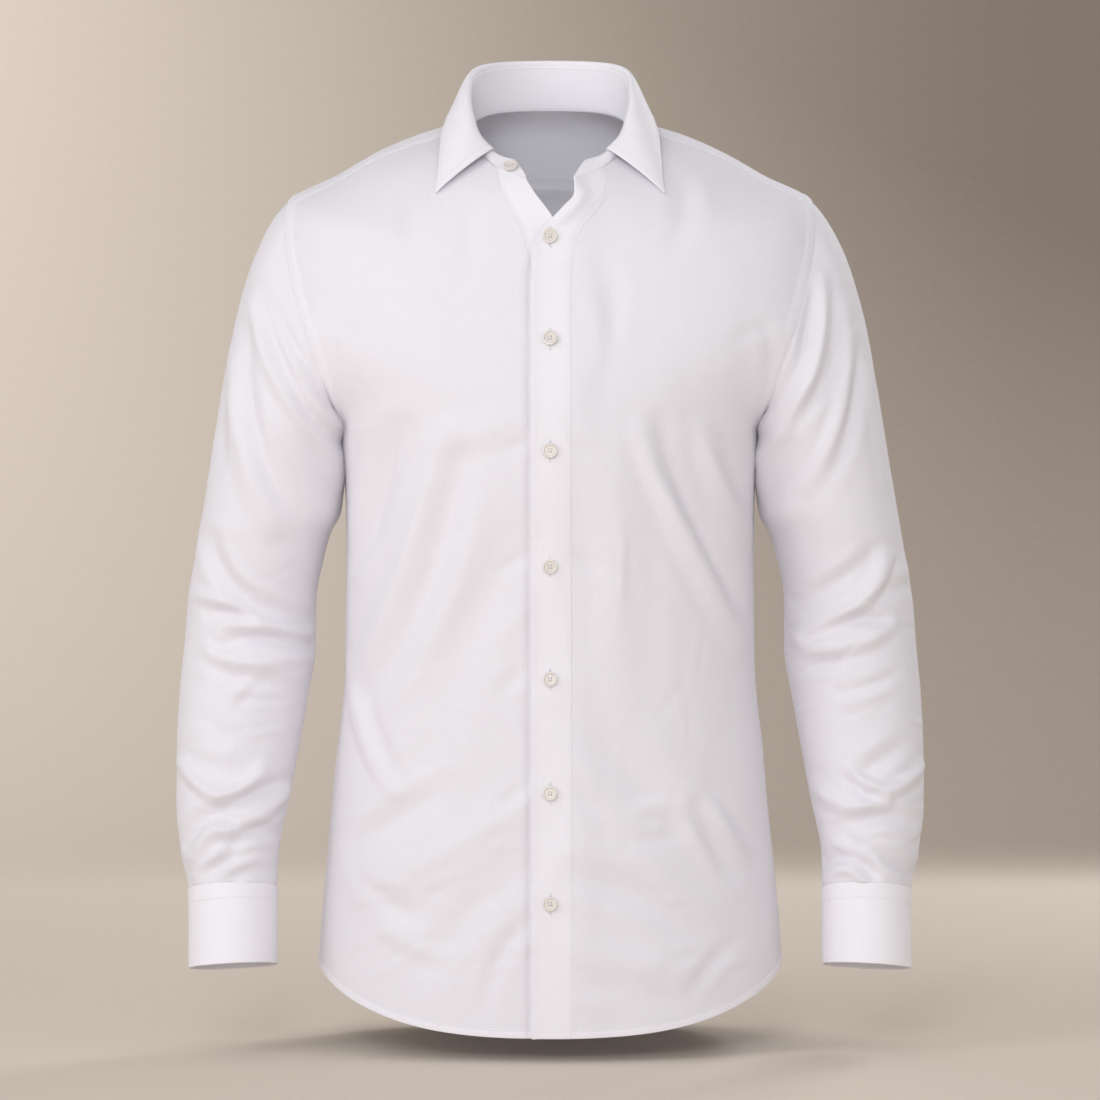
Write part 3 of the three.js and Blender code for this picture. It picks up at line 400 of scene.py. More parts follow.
def bodyPoint(angle, level):
    turn = np.radians(angle)
    forward, sideways = np.cos(turn), np.sin(turn)
    depth = np.where(forward > 0, body.front(level), body.back(level))
    fill = 1 + body.square(level) * sideways ** 2
    side, chest, spine = body.side(level), body.chest(level), body.spine(level)
    tilt = (chest - spine) / 2
    bow = (chest + spine) / 2 - side
    return np.stack([
        body.half(level) * sideways,
        -depth * forward * fill,
        side + tilt * forward + bow * forward ** 2,
    ], axis=-1)


def bodyNormal(angle, level):
    probe = 0.05
    around = bodyPoint(angle + probe, level) - bodyPoint(angle - probe, level)
    up = bodyPoint(angle, level + probe) - bodyPoint(angle, level - probe)
    return unit(np.cross(around, up))


def inPleat(point, level):
    across = (pleat["half"] + pleat["softness"] / 2 - np.abs(point[..., 0])) / pleat["softness"]
    opening = (level - pleat["endLevel"]) / (pleat["fullLevel"] - pleat["endLevel"])
    return smoothStep(across) * smoothStep(opening)


def bodyLift(angle, level, folds, isBack):
    point = bodyPoint(angle, level)
    forward = np.cos(np.radians(angle))
    reach = armhole.back(level) if isBack else armhole.front(level)
    held = smoothStep(np.abs(forward) * folding["sideFade"])
    held = held * smoothStep((reach - np.abs(point[..., 0])) / folding["seamHold"])
    return held * foldsAt(folds, point[..., 0], point[..., 2])


# The sections turn in quickly at the armpit. Away from it the cloth hangs over that turn, which
# this table eases: how far each place is from a smoothed form, by X and Z.
ease = {
    "stepX": 4,
    "stepZ": 2,
    "reachX": 200,
    "margin": 90,
    "spread": 30,
    "top": -110,
    "topFade": 40,
    "bottom": -440,
    "bottomFade": 60,
    "soft": 20,
    "seamClear": 8,
    "armFade": 34,
    "sideFade": 30,
}


def easeTable(isBack):
    angles = np.linspace(0, 89.5, 180)
    if isBack:
        angles = 180 - angles
    levels = np.arange(-60, -560, -2.0)
    point = bodyPoint(angles[None, :], levels[:, None])
    across = np.arange(0, ease["reachX"] + 1, ease["stepX"], dtype=float)
    lowest, highest = ease["bottom"] - ease["margin"], ease["top"] + ease["margin"]
    heights = np.arange(lowest, highest + 1, ease["stepZ"], dtype=float)
    spread = np.arange(-ease["spread"], ease["spread"] + 1)
    kernel = np.exp(-(spread * ease["stepZ"] / ease["soft"]) ** 2 / 2)
    table = np.zeros((len(heights), len(across)))
    for column, x in enumerate(across):
        depth = np.array([np.interp(x, row[:, 0], row[:, 1]) for row in point])
        height = np.array([np.interp(x, row[:, 0], row[:, 2]) for row in point])
        line = np.interp(heights, height[::-1], depth[::-1])
        padded = np.pad(line, ease["spread"], mode="edge")
        table[:, column] = np.convolve(padded, kernel / kernel.sum(), mode="valid") - line
    return across, heights, table


def easedLift(point, isBack, armAway, sideAway):
    across, heights, table = easeTable(isBack)
    column = np.clip(np.abs(point[..., 0]) / ease["stepX"], 0, len(across) - 1.001)
    row = np.clip((point[..., 2] - heights[0]) / ease["stepZ"], 0, len(heights) - 1.001)
    low, left = row.astype(int), column.astype(int)
    up, right = row - low, column - left
    near = table[low, left] * (1 - right) + table[low, left + 1] * right
    far = table[low + 1, left] * (1 - right) + table[low + 1, left + 1] * right
    moved = near * (1 - up) + far * up
    z = point[..., 2]
    window = smoothStep((ease["top"] - z) / ease["topFade"])
    window = window * smoothStep((z - ease["bottom"]) / ease["bottomFade"])
    held = smoothStep((armAway - ease["seamClear"]) / ease["armFade"])
    held = held * smoothStep((sideAway - ease["seamClear"]) / ease["sideFade"])
    return (moved if isBack else -moved) * window * held


# The armhole, from the armpit at 0 to the tip of the shoulder at 1
def armholePlace(part, isBack):
    share = (1 - np.cos(np.pi * part)) / 2
    level = seams["armpitLevel"] + (seams["tipLevel"] - seams["armpitLevel"]) * share
    reach = armhole.back(level) if isBack else armhole.front(level)
    angle = np.degrees(np.arcsin(np.minimum(reach / body.half(level), 1)))
    return (180 - angle if isBack else angle), level


def armholePart(level):
    share = (level - seams["armpitLevel"]) / (seams["tipLevel"] - seams["armpitLevel"])
    return math.acos(1 - 2 * share) / math.pi


frontSeamPart = armholePart(seams["frontSeamLevel"])
yokeSeamPart = armholePart(seams["yokeSeamLevel"])
neckEndAngle = math.degrees(math.asin(frontEdge.left(0) / body.half(0)))


# A patch inside four edges, each a pair of angles and levels
def patchPlace(left, right, bottom, top, p, q, hold):
    mixed = []
    for leftLine, rightLine, bottomLine, topLine in zip(left, right, bottom, top):
        bottomShape = bottomLine - (1 - p) * bottomLine[0] - p * bottomLine[-1]
        topShape = topLine - (1 - p) * topLine[0] - p * topLine[-1]
        mixed.append(
            np.outer(leftLine, 1 - p) + np.outer(rightLine, p)
            + np.outer(1 - q, bottomShape) + np.outer(q ** hold, topShape)
        )
    return mixed


def hemLevel(angle):
    forward = np.cos(np.radians(angle))
    end = np.where(forward > 0, hem["front"], hem["back"])
    share = 1 - (1 - np.abs(forward) ** hem["flare"]) ** hem["round"]
    return hem["side"] + (end - hem["side"]) * share


def sidePlace(q, endPart, isBack):
    turn = seamAngle if isBack else -seamAngle
    sidePart = 1 - seams["armShare"]
    halfGap = cloth["seamGap"] / 2
    low = hem["side"] + (seams["armpitLevel"] - halfGap - hem["side"]) * q / sidePart
    armPart = endPart * np.clip(q - sidePart, 0, 1) / seams["armShare"]
    armAngle, armLevel = armholePlace(armPart, isBack)
    onSide = q <= sidePart
    return np.where(onSide, 90, armAngle) + turn, np.where(onSide, low, armLevel - halfGap)


def rowShares(armRows, fineness):
    sidePart = 1 - seams["armShare"]
    low = np.linspace(0, sidePart, seams["sideRows"] * fineness + 1)
    high = np.linspace(sidePart, 1, armRows * fineness + 1)
    return np.concatenate([low, high[1:]])


def frontPlaces(side, fineness):
    reach = frontEdge.left if side > 0 else frontEdge.right
    columns = (seams["neckColumns"] + seams["shoulderColumns"]) * fineness["columns"]
    neckPart = seams["neckColumns"] / (seams["neckColumns"] + seams["shoulderColumns"])
    p = np.linspace(0, 1, columns + 1)
    q = rowShares(seams["frontArmRows"], fineness["rows"])
    halfGap = cloth["seamGap"] / 2
    above = np.clip(q - (1 - seams["armShare"]), 0, 1) / seams["armShare"]
    below = np.minimum(q / (1 - seams["armShare"]), 1)
    armpit = seams["armpitLevel"]
    upper = armpit * np.maximum(1 - above, 0) ** seams["neckCrowding"] - halfGap * above
    level = np.where(above > 0, upper, hem["front"] + (armpit - hem["front"]) * below)
    left = np.degrees(np.arcsin(reach(level) / body.half(level))), level
    right = sidePlace(q, frontSeamPart, False)
    start = math.degrees(math.asin(reach(hem["front"]) / body.half(hem["front"])))
    hemAngle = start + (90 - seamAngle - start) * p
    bottom = hemAngle, hemLevel(hemAngle)
    seamEnd = armholePlace(frontSeamPart, False)[0]
    share = (p - neckPart) / (1 - neckPart)
    onNeck = p <= neckPart
    neckAngles = neckEndAngle + (seams["shoulderAngle"] - neckEndAngle) * p / neckPart
    shoulder = seams["shoulderAngle"] + (seamEnd - seams["shoulderAngle"]) * share - shoulderGapAngle
    top = (
        np.where(onNeck, neckAngles, shoulder),
        np.where(onNeck, 0, seams["frontSeamLevel"] * share) - halfGap,
    )
    return patchPlace(left, right, bottom, top, p, q, seams["panelHold"])


def yokeSeamPlace(share):
    end = armholePlace(yokeSeamPart, True)[0]
    angle = end + (360 - 2 * end) * share
    away = np.abs(angle - 180) / (180 - end)
    return angle, seams["yokeSeamLevel"] + seams["yokeSeamRise"] * (1 - away ** 2)


def backPlaces(fineness):
    p = np.linspace(0, 1, seams["backColumns"] * fineness["columns"] + 1)
    q = rowShares(seams["backArmRows"], fineness["rows"])
    left = sidePlace(q, yokeSeamPart, True)
    hemAngle = 90 + seamAngle + (180 - 2 * seamAngle) * p
    topAngle, topLevel = yokeSeamPlace(p)
    return patchPlace(
        left,
        (360 - left[0], left[1]),
        (hemAngle, hemLevel(hemAngle)),
        (topAngle, topLevel - cloth["seamGap"] / 2),
        p, q, seams["panelHold"],
    )


def yokeOuterPlace(share):
    armColumns = seams["yokeArmFront"] + seams["yokeArmBack"]
    columns = seams["yokeBackColumns"] + 2 * armColumns
    mirrorSide = share > 0.5
    column = np.where(mirrorSide, 1 - share, share) * columns
    frontPart = frontSeamPart + (1 - frontSeamPart) * np.clip(column / seams["yokeArmFront"], 0, 1)
    backShare = np.clip((column - seams["yokeArmFront"]) / seams["yokeArmBack"], 0, 1)
    frontPlace = armholePlace(frontPart, False)
    backPlace = armholePlace(1 - (1 - yokeSeamPart) * backShare, True)
    seamPlace = yokeSeamPlace(np.clip((column - armColumns) / seams["yokeBackColumns"], 0, 1))
    chosen = []
    for front, back, seam in zip(frontPlace, backPlace, seamPlace):
        arm = np.where(column <= seams["yokeArmFront"], front, back)
        chosen.append(np.where(column <= armColumns, arm, seam))
    angle, level = chosen
    return np.where(mirrorSide, 360 - angle, angle), level + cloth["seamGap"] / 2


def yokePlaces(fineness):
    columns = seams["yokeBackColumns"] + 2 * (seams["yokeArmFront"] + seams["yokeArmBack"])
    p = np.linspace(0, 1, columns * fineness["columns"] + 1)
    q = np.linspace(0, 1, seams["shoulderColumns"] * fineness["columns"] + 1)
    seamEnd = armholePlace(frontSeamPart, False)[0]
    shoulder = seams["shoulderAngle"]
    angle = shoulder + (seamEnd - shoulder) * q + shoulderGapAngle
    level = seams["frontSeamLevel"] * q + cloth["seamGap"] / 2 * (2 * q - 1)
    start = shoulder + shoulderGapAngle
    neck = start + (360 - 2 * start) * p, np.full(p.shape, -cloth["seamGap"] / 2)
    return patchPlace(
        (angle, level), (360 - angle, level), neck, yokeOuterPlace(p), p, q, seams["yokeHold"],
    )


# A piece of cloth as a grid of points on its outer face, rows upwards, with its way inwards
def panel(point, normal, lift, wall, inward=None):
    outer = point + normal * lift[..., None]
    wall = np.broadcast_to(wall, lift.shape)[..., None]
    inner = outer - (normal if inward is None else inward) * wall
    return SimpleNamespace(outer=outer, inner=inner, normal=normal)


# Cloth is doubled along its seams and hems, and each stitch line pulls a groove into it.
# Band is the doubled width from the edge, and stitch is where its seam is sewn.
doubled = {
    "armhole": {"band": 9.4, "raise": 0.6, "stitch": 8.4, "groove": 0.34, "pucker": 0.2},
    "side": {"band": 6.4, "raise": 0.3, "stitch": 5.6, "groove": 0.22, "pucker": 0.1},
    "hem": {"band": 6.2, "raise": 0.3, "stitch": 5.4, "groove": 0.28, "pucker": 0.1},
    "placket": {"band": 31.6, "raise": 0.4, "stitch": 30.6, "groove": 0.26, "pucker": 0.06},
    "shoulder": {"band": 7.2, "raise": 0.4, "stitch": 6.3, "groove": 0.26, "pucker": 0.08},
    "cuffTop": {"band": 12.6, "raise": 0.2, "stitch": 11.8, "groove": 0.28, "pucker": 0.05},
}
relief = {
    "step": 0.9,
    "grooveWidth": 0.75,
    "puckerWidth": 3.2,
    "puckerLength": 1.5,
    "drift": 2.2,
    "driftLength": 13,
    "slant": 3,
}

# Distances from an edge at which a grid has its lines, so that bands and grooves come out crisp
edgeSteps = {
    "plain": (0, 0.4, 1.2, 2.6),
    "armhole": (0, 0.3, 0.8, 1.8, 3.2, 4.8, 6.2, 7.1, 7.7, 8.1, 8.5, 8.9, 9.4, 10, 11, 12.6, 14.8),
    "hem": (0, 0.3, 0.9, 2, 3.3, 4.2, 4.8, 5.2, 5.6, 6, 6.6, 7.4, 8.8, 10.8),
    "placket": (0, 0.3, 0.8, 1.8, 3.6, 6.4, 9.4, 12.4, 15.4, 18.4, 21.4, 24.4, 27, 28.8, 29.8,
                30.3, 30.7, 31.1, 31.6, 32.2, 33.2, 35, 37.6),
    "shoulder": (0, 0.3, 0.8, 1.5, 2.6, 4, 5.2, 5.8, 6.2, 6.6, 7.1, 7.7, 8.6, 10.2, 12.4),
    "cuff": (0, 0.3, 0.9, 2.2, 4.2, 6.4, 8.6, 10.4, 11.2, 11.6, 12, 12.5, 13.1, 14.2, 16.4),
    "cuffEnd": (1.6, 0.7, 0.2, 0),
}


# How a doubled edge lifts the cloth, by the distance from that edge and along it
def seamRelief(form, away, along):
    band = form["raise"] * smoothStep((form["band"] - away) / relief["step"] + 0.5)
    groove = form["groove"] * np.exp(-((away - form["stitch"]) / relief["grooveWidth"]) ** 2)
    drift = relief["drift"] * np.sin(along / relief["driftLength"])
    wave = np.sin(along / relief["puckerLength"] + drift + away / relief["slant"])
    pucker = form["pucker"] * wave * np.exp(-((away - form["stitch"]) / relief["puckerWidth"]) ** 2)
    return band - groove + pucker


def inBand(name, away):
    return smoothStep(doubled[name]["band"] - away + 0.5)


# Distance of each point from a line, and the place along the line that is nearest
def awayFrom(points, line):
    along = np.concatenate([[0], np.cumsum(np.linalg.norm(np.diff(line, axis=0), axis=1))])
    marks = np.arange(0, along[-1], 0.5)
    dense = np.stack([np.interp(marks, along, line[:, axis]) for axis in range(3)], axis=-1)
    tree = KDTree(len(dense))
    for index, place in enumerate(dense.tolist()):
        tree.insert(place, index)
    tree.balance()
    found = [tree.find(point) for point in points.reshape(-1, 3).tolist()]
    shape = points.shape[:-1]
    away = np.array([item[2] for item in found]).reshape(shape)
    return away, marks[[item[1] for item in found]].reshape(shape)


# Moves a grid's columns so that those next to its two sides lie at set distances from them
def refit(angle, level, first, last, count):
    point = bodyPoint(angle, level)
    step = np.linalg.norm(np.diff(point, axis=1), axis=-1)
    along = np.concatenate([np.zeros((len(point), 1)), np.cumsum(step, axis=1)], axis=1)
    first, last = np.array(first), np.array(last)
    angles, levels = [], []
    for row, length in enumerate(along[:, -1]):
        between = np.linspace(first[-1], length - last[-1], count + 1)[1:-1]
        targets = np.concatenate([first, between, (length - last)[::-1]])
        angles.append(np.interp(targets, along[row], angle[row]))
        levels.append(np.interp(targets, along[row], level[row]))
    return np.array(angles), np.array(levels)


def refitRows(angle, level, first, last, count):
    turned = refit(angle.T, level.T, first, last, count)
    return turned[0].T, turned[1].T


# The armhole and the side seam of a front or of the back, as lines on the body
def armLine(isBack):
    return bodyPoint(*armholePlace(np.linspace(0, 1, 240), isBack))


def sideLine():
    level = np.linspace(hem["side"], seams["armpitLevel"], 160)
    return bodyPoint(np.full(level.shape, 90.0), level)


# Distance along the cloth from each edge of a grid
def edgeDistances(grid):
    up = np.linalg.norm(np.diff(grid, axis=0), axis=-1)
    across = np.linalg.norm(np.diff(grid, axis=1), axis=-1)
    fromBottom = np.concatenate([np.zeros((1, grid.shape[1])), np.cumsum(up, axis=0)])
    fromLeft = np.concatenate([np.zeros((grid.shape[0], 1)), np.cumsum(across, axis=1)], axis=1)
    return SimpleNamespace(
        bottom=fromBottom, top=fromBottom[-1] - fromBottom,
        left=fromLeft, right=fromLeft[:, -1:] - fromLeft,
    )


# A line on a grid at a distance from one edge, as points and normals
def lineFromEdge(grid, normals, distances, inset):
    inset = np.broadcast_to(inset, (distances.shape[1],))
    points, ways = [], []
    for column in range(distances.shape[1]):
        reach = distances[:, column]
        order = np.argsort(reach)
        at = np.interp(inset[column], reach[order], order.astype(float))
        low = int(np.clip(np.floor(at), 0, len(reach) - 2))
        share = at - low
        points.append(grid[low, column] * (1 - share) + grid[low + 1, column] * share)
        ways.append(normals[low, column] * (1 - share) + normals[low + 1, column] * share)
    return np.array(points), unit(np.array(ways))


def newMesh(name, points, faces, uvs=None, fields=None):
    mesh = bpy.data.meshes.new(name)
    mesh.from_pydata((points * mm).tolist(), [], faces.tolist() if hasattr(faces, "tolist") else faces)
    if uvs is not None:
        layer = mesh.uv_layers.new(name="cloth")
        layer.data.foreach_set("uv", (uvs * mm).astype(np.float32).ravel())
    for field, values in (fields or {}).items():
        attribute = mesh.attributes.new(field, "FLOAT", "POINT")
        attribute.data.foreach_set("value", values.astype(np.float32).ravel())
    mesh.shade_smooth()
    piece = bpy.data.objects.new(name, mesh)
    bpy.context.scene.collection.objects.link(piece)
    return piece


# A closed wall between a grid's outer and inner faces, its edges rounded. Around joins its sides.
def wallPiece(name, sheet, fields=None, around=False):
    outer, inner = sheet.outer, sheet.inner
    rows, columns = outer.shape[:2]
    count = rows * columns
    index = np.arange(count).reshape(rows, columns)
    wide = np.concatenate([outer, outer[:, :1]], axis=1) if around else outer
    away = edgeDistances(wide)
    middleRow = away.left[rows // 2]
    flatAcross = np.broadcast_to(middleRow, away.left.shape)
    uvGrid = np.stack([flatAcross, away.bottom], axis=-1)
    wideIndex = np.concatenate([index, index[:, :1]], axis=1) if around else index
    uvIndex = np.arange(uvGrid.shape[0] * uvGrid.shape[1]).reshape(uvGrid.shape[:2])

    def quads(grid):
        return np.stack([grid[:-1, :-1], grid[:-1, 1:], grid[1:, 1:], grid[1:, :-1]], axis=-1).reshape(-1, 4)

    faces = [quads(wideIndex), quads(wideIndex + count)[:, ::-1]]
    corners = [quads(uvIndex), quads(uvIndex)[:, ::-1]]
    points = [outer.reshape(-1, 3), inner.reshape(-1, 3)]
    loops = rimLoops(rows, wideIndex, uvIndex, around)
    made = 2 * count
    rimSources = []
    for vertexLoop, uvLoop, insideLoop in loops:
        edge = outer.reshape(-1, 3)[vertexLoop]
        facing = inner.reshape(-1, 3)[vertexLoop]
        out = unit(edge - outer.reshape(-1, 3)[insideLoop])
        wall = np.linalg.norm(edge - facing, axis=-1, keepdims=True)
        points.append((edge + facing) / 2 + out * wall * cloth["rimRound"])
        rim = made + np.arange(len(vertexLoop))
        rimSources.append(vertexLoop)
        made += len(vertexLoop)
        here = np.arange(len(vertexLoop))
        nextOne = np.roll(here, -1)
        faces.append(np.stack([vertexLoop[nextOne], vertexLoop[here], rim[here], rim[nextOne]], axis=-1))
        faces.append(np.stack([
            rim[nextOne], rim[here], vertexLoop[here] + count, vertexLoop[nextOne] + count,
        ], axis=-1))
        nextUv = uvLoop[1]
        hereUv = uvLoop[0]
        corners.append(np.stack([nextUv, hereUv, hereUv, nextUv], axis=-1))
        corners.append(np.stack([nextUv, hereUv, hereUv, nextUv], axis=-1))
    allPoints = np.concatenate(points)
    allFaces = np.concatenate(faces)
    allCorners = np.concatenate(corners)
    first, second, third, fourth = (allPoints[allFaces[:, corner]] for corner in range(4))
    volume = np.einsum("ij,ij->i", first, np.cross(second, third)).sum()
    volume += np.einsum("ij,ij->i", first, np.cross(third, fourth)).sum()
    if volume < 0:
        allFaces, allCorners = allFaces[:, ::-1], allCorners[:, ::-1]
    uvs = uvGrid.reshape(-1, 2)[allCorners.reshape(-1)]
    spread = {}
    for field, values in (fields or {}).items():
        flat = values.reshape(-1)
        spread[field] = np.concatenate([flat, flat, *[flat[source] for source in rimSources]])
    return newMesh(name, allPoints, allFaces, uvs, spread)


# The vertices round the open edges of a grid, with their places in the map and their neighbours
def rimLoops(rows, wideIndex, uvIndex, around):
    if around:
        loops = []
        for row, inside, step in ((0, 1, 1), (rows - 1, rows - 2, -1)):
            ring, ringUv, within = wideIndex[row, :-1], uvIndex[row], wideIndex[inside, :-1]
            if step < 0:
                order = np.arange(len(ring))[::-1]
                hereUv, nextUv = np.roll(ringUv[1:], 1), np.roll(ringUv[:-1], 1)
                loops.append((ring[order], (hereUv[order], nextUv[order]), within[order]))
            else:
                loops.append((ring, (ringUv[:-1], ringUv[1:]), within))
        return loops

    def loopOf(grid):
        return np.concatenate([grid[0, :-1], grid[:-1, -1], grid[-1, :0:-1], grid[:0:-1, 0]])

    insideGrid = np.pad(wideIndex[1:-1, 1:-1], 1, mode="edge")
    uvLoop = loopOf(uvIndex)
    return [(loopOf(wideIndex), (uvLoop, np.roll(uvLoop, -1)), loopOf(insideGrid))]


sleeveSections = tableRows(
    ("level", "outer", "inner", "middle", "depth", "slope"),
    [
        (-300, 285, 173, 0, 66.5, 0.02),
        (-318, 288, 174.5, 1, 66, 0.03),
        (-335, 291, 182, 2, 64.5, 0.05),
        (-352, 294, 187.5, 3, 62, 0.07),
        (-390, 300.5, 194.5, 3, 58, 0.1),
        (-432, 304, 194.5, 0, 56.5, 0.14),
        (-473, 307, 201, -6, 54, 0.18),
        (-515, 308, 208, -14, 51, 0.2),
        (-556, 307.5, 215.5, -23, 48.5, 0.21),
        (-598, 302.5, 222.5, -33, 44, 0.21),
        (-627, 295.8, 223.2, -40.5, 40, 0.22),
        (-690, 294.2, 222.6, -54, 39.5, 0.16),
    ],
)

# The way each sleeve leaves the armhole: 0 is the tip of the shoulder and 180 the armpit
sleeveStart = tableRows(
    ("angle", "out", "back", "down"),
    [
        (0, 0.73, 0, 0.68),
        (45, 0.6, -0.2, 0.78),
        (90, 0.36, -0.2, 0.9),
        (135, 0.1, -0.05, 0.99),
        (180, 0.02, 0, 1),
    ],
)
sleeve = tableCurves(sleeveSections, "level")
sleeveWay = tableCurves(sleeveStart, "angle")

arm = {
    "middle": (205, 0, -165),
    "step": 0.01,
    "onwardStep": 6,
    "startReach": 0.24,
    "endReach": 0.34,
    "topLevel": -300,
    "halfColumns": 84,
    "topRows": 56,
    "tubeRows": 138,
    "firstRow": 0.1,
}
cuff = {
    "top": -627,
    "end": -688,
    "lean": 2,
    "leanTop": -560,
    "proud": 0.5,
    "underEnd": -150,
    "overEnd": 240,
    "overStart": 194,
    "overTurn": 18,
    "buttonLevel": -661,
    "reachPerDegree": 0.66,
    "unevenShare": 0.4,
}
placket = {"angle": -136, "width": 26, "top": -488, "point": -474, "foot": 1.4}

sleeveFoldsRight = tableRows(foldColumns, [
    (237, -140, 229, -196, 178, -262, 6, -3),
    (246, -146, 238, -196, 190, -258, 7, 2.4),
    (227, -145, 218, -180, 186, -210, 5, -2.4),
    (250, -166, 251, -262, 208, -318, 8, -3.6),
    (262, -190, 262, -270, 226, -330, 9, 2.6),
    (266, -192, 268, -240, 274, -290, 6, -1.6),
    (198, -222, 186, -236, 174, -252, 6, 3),
    (196, -262, 186, -290, 176, -318, 8, -2),
    (276, -338, 268, -396, 198, -404, 8, -5.5),
    (292, -388, 276, -386, 262, -391, 6, 3.4),
    (280, -404, 262, -396, 245, -407, 5, -4),
    (254, -411, 232, -412, 204, -421, 6, 3.4),
    (270, -427, 250, -412, 192, -429, 7, -5.5),
    (283, -430, 256, -450, 198, -436, 7, 3.2),
    (276, -446, 250, -458, 204, -462, 7, -2.4),
    (250, -469, 232, -473, 212, -472, 4, -1.8),
    (261, -472, 254, -462, 240, -453, 6, 2),
    (282, -484, 268, -500, 252, -506, 8, -1.4),
    (302, -523, 264, -568, 233, -528, 6, 4.4),
    (296, -512, 264, -544, 238, -512, 9, -2),
    (268, -558, 250, -548, 216, -539, 6, -5),
    (250, -566, 232, -566, 212, -543, 6, 3.6),
    (296, -586, 280, -546, 249, -572, 7, -4),
    (290, -600, 272, -560, 250, -578, 6, 3.2),
    (264, -592, 246, -570, 224, -579, 6, -5),
    (281, -611, 262, -596, 245, -593, 5, -3.2),
    (259, -616, 246, -602, 230, -611, 5, -3.2),
    (286, -616, 272, -592, 258, -586, 5, 2.2),
])
sleeveFoldsLeft = tableRows(foldColumns, [
    (224, -128, 228, -198, 175, -276, 6, 4),
    (214, -142, 214, -196, 170, -241, 7, -3.6),
    (240, -165, 236, -214, 192, -248, 7, -3),
    (243, -148, 248, -252, 208, -298, 7, 3.4),
    (252, -186, 250, -244, 230, -280, 8, -3),
    (257, -168, 266, -230, 277, -294, 5, 1.2),
    (196, -270, 186, -296, 176, -322, 8, -2),
    (262, -350, 238, -376, 208, -391, 8, -4),
    (272, -353, 267, -397, 204, -421, 7, 5.6),
    (296, -382, 284, -376, 276, -386, 7, -2.4),
    (274, -407, 250, -398, 214, -420, 6, -5),
    (280, -411, 262, -430, 212, -428, 7, 4),
    (240, -441, 224, -442, 206, -448, 6, -4.4),
    (287, -449, 262, -462, 234, -466, 5, -2),
    (280, -462, 256, -474, 238, -476, 6, 1.6),
    (288, -508, 266, -518, 248, -532, 8, -3.6),
    (304, -526, 272, -558, 242, -528, 6, 4.4),
    (239, -533, 252, -544, 267, -549, 5, -3.8),
    (218, -544, 240, -564, 271, -551, 7, 3.6),
    (245, -571, 268, -556, 294, -569, 7, -5.4),
    (234, -574, 252, -590, 262, -611, 6, -3),
    (223, -608, 238, -584, 260, -610, 6, -3.4),
    (226, -616, 240, -598, 256, -616, 5, 2.6),
    (265, -597, 282, -600, 294, -613, 7, -3.6),
    (240, -588, 262, -596, 293, -620, 5, 2.4),
])
sleeveBackFolds = tableRows(foldColumns, [
    (236, -150, 222, -200, 190, -262, 9, -4),
    (262, -190, 252, -270, 222, -330, 10, -4.5),
    (250, -160, 240, -230, 204, -300, 8, 2.4),
    (282, -340, 262, -388, 206, -396, 8, -4),
    (296, -372, 250, -384, 206, -368, 9, -4.5),
    (288, -400, 256, -412, 208, -404, 7, 3),
    (292, -428, 252, -446, 212, -430, 9, -4),
    (300, -520, 268, -556, 236, -524, 7, 3.4),
    (288, -560, 262, -572, 238, -558, 9, 3.5),
    (292, -582, 268, -560, 246, -588, 6, -3),
])
sleeveFoldsRight += smallWrinkles(8, wrinkled["arm"])
sleeveFoldsLeft += smallWrinkles(9, wrinkled["arm"])
sleeveBackFolds += smallWrinkles(10, wrinkled["arm"])


def tubePoint(angle, level):
    turn = np.radians(angle)
    outer, inner = sleeve.outer(level), sleeve.inner(level)
    toFront = sleeve.depth(level) * np.sin(turn)
    lean = cuff["lean"] * smoothStep((level - cuff["leanTop"]) / (cuff["end"] - cuff["leanTop"]))
    return np.stack([
        (outer + inner) / 2 + (outer - inner) / 2 * np.cos(turn),
        sleeve.middle(level) - toFront,
        level + toFront * sleeve.slope(level) - lean * np.cos(turn),
    ], axis=-1)


def tubeNormal(angle, level):
    probe = 0.05
    around = tubePoint(angle + probe, level) - tubePoint(angle - probe, level)
    up = tubePoint(angle, level + probe) - tubePoint(angle, level - probe)
    return unit(np.cross(up, around))


# The armhole's line on the body, the cloth's normal there and the way across into the sleeve
def armholeFrame(part, isBack):
    angle, level = armholePlace(part, isBack)
    point, normal = bodyPoint(angle, level), bodyNormal(angle, level)
    held = np.clip(part, arm["step"], 1 - arm["step"])
    before = bodyPoint(*armholePlace(held - arm["step"], isBack))
    after = bodyPoint(*armholePlace(held + arm["step"], isBack))
    out = unit(np.cross(unit(after - before), normal))
    inwards = np.sum(out * (np.array(arm["middle"]) - point), axis=-1, keepdims=True) < 0
    return point, normal, np.where(inwards, -out, out)


def sleeveColumns():
    share = np.linspace(0, 1, arm["halfColumns"] + 1)
    return ((share[:-1], False, 1), (share[:0:-1], True, -1))


# The sleeve's cloth folds forward over the side of the body, below the armpit
armpit = {
    "angle": 152,
    "spread": 26,
    "top": -214,
    "bottom": -338,
    "fade": 34,
    "lift": 6.2,
    "wave": 0.9,
    "waveLength": 9.5,
}


def armpitFold(angle, z):
    near = np.exp(-((angle - armpit["angle"]) / armpit["spread"]) ** 2)
    down = smoothStep((armpit["top"] - z) / armpit["fade"])
    down = down * smoothStep((z - armpit["bottom"]) / armpit["fade"])
    return near * down * (armpit["lift"] + armpit["wave"] * np.sin(z / armpit["waveLength"]))


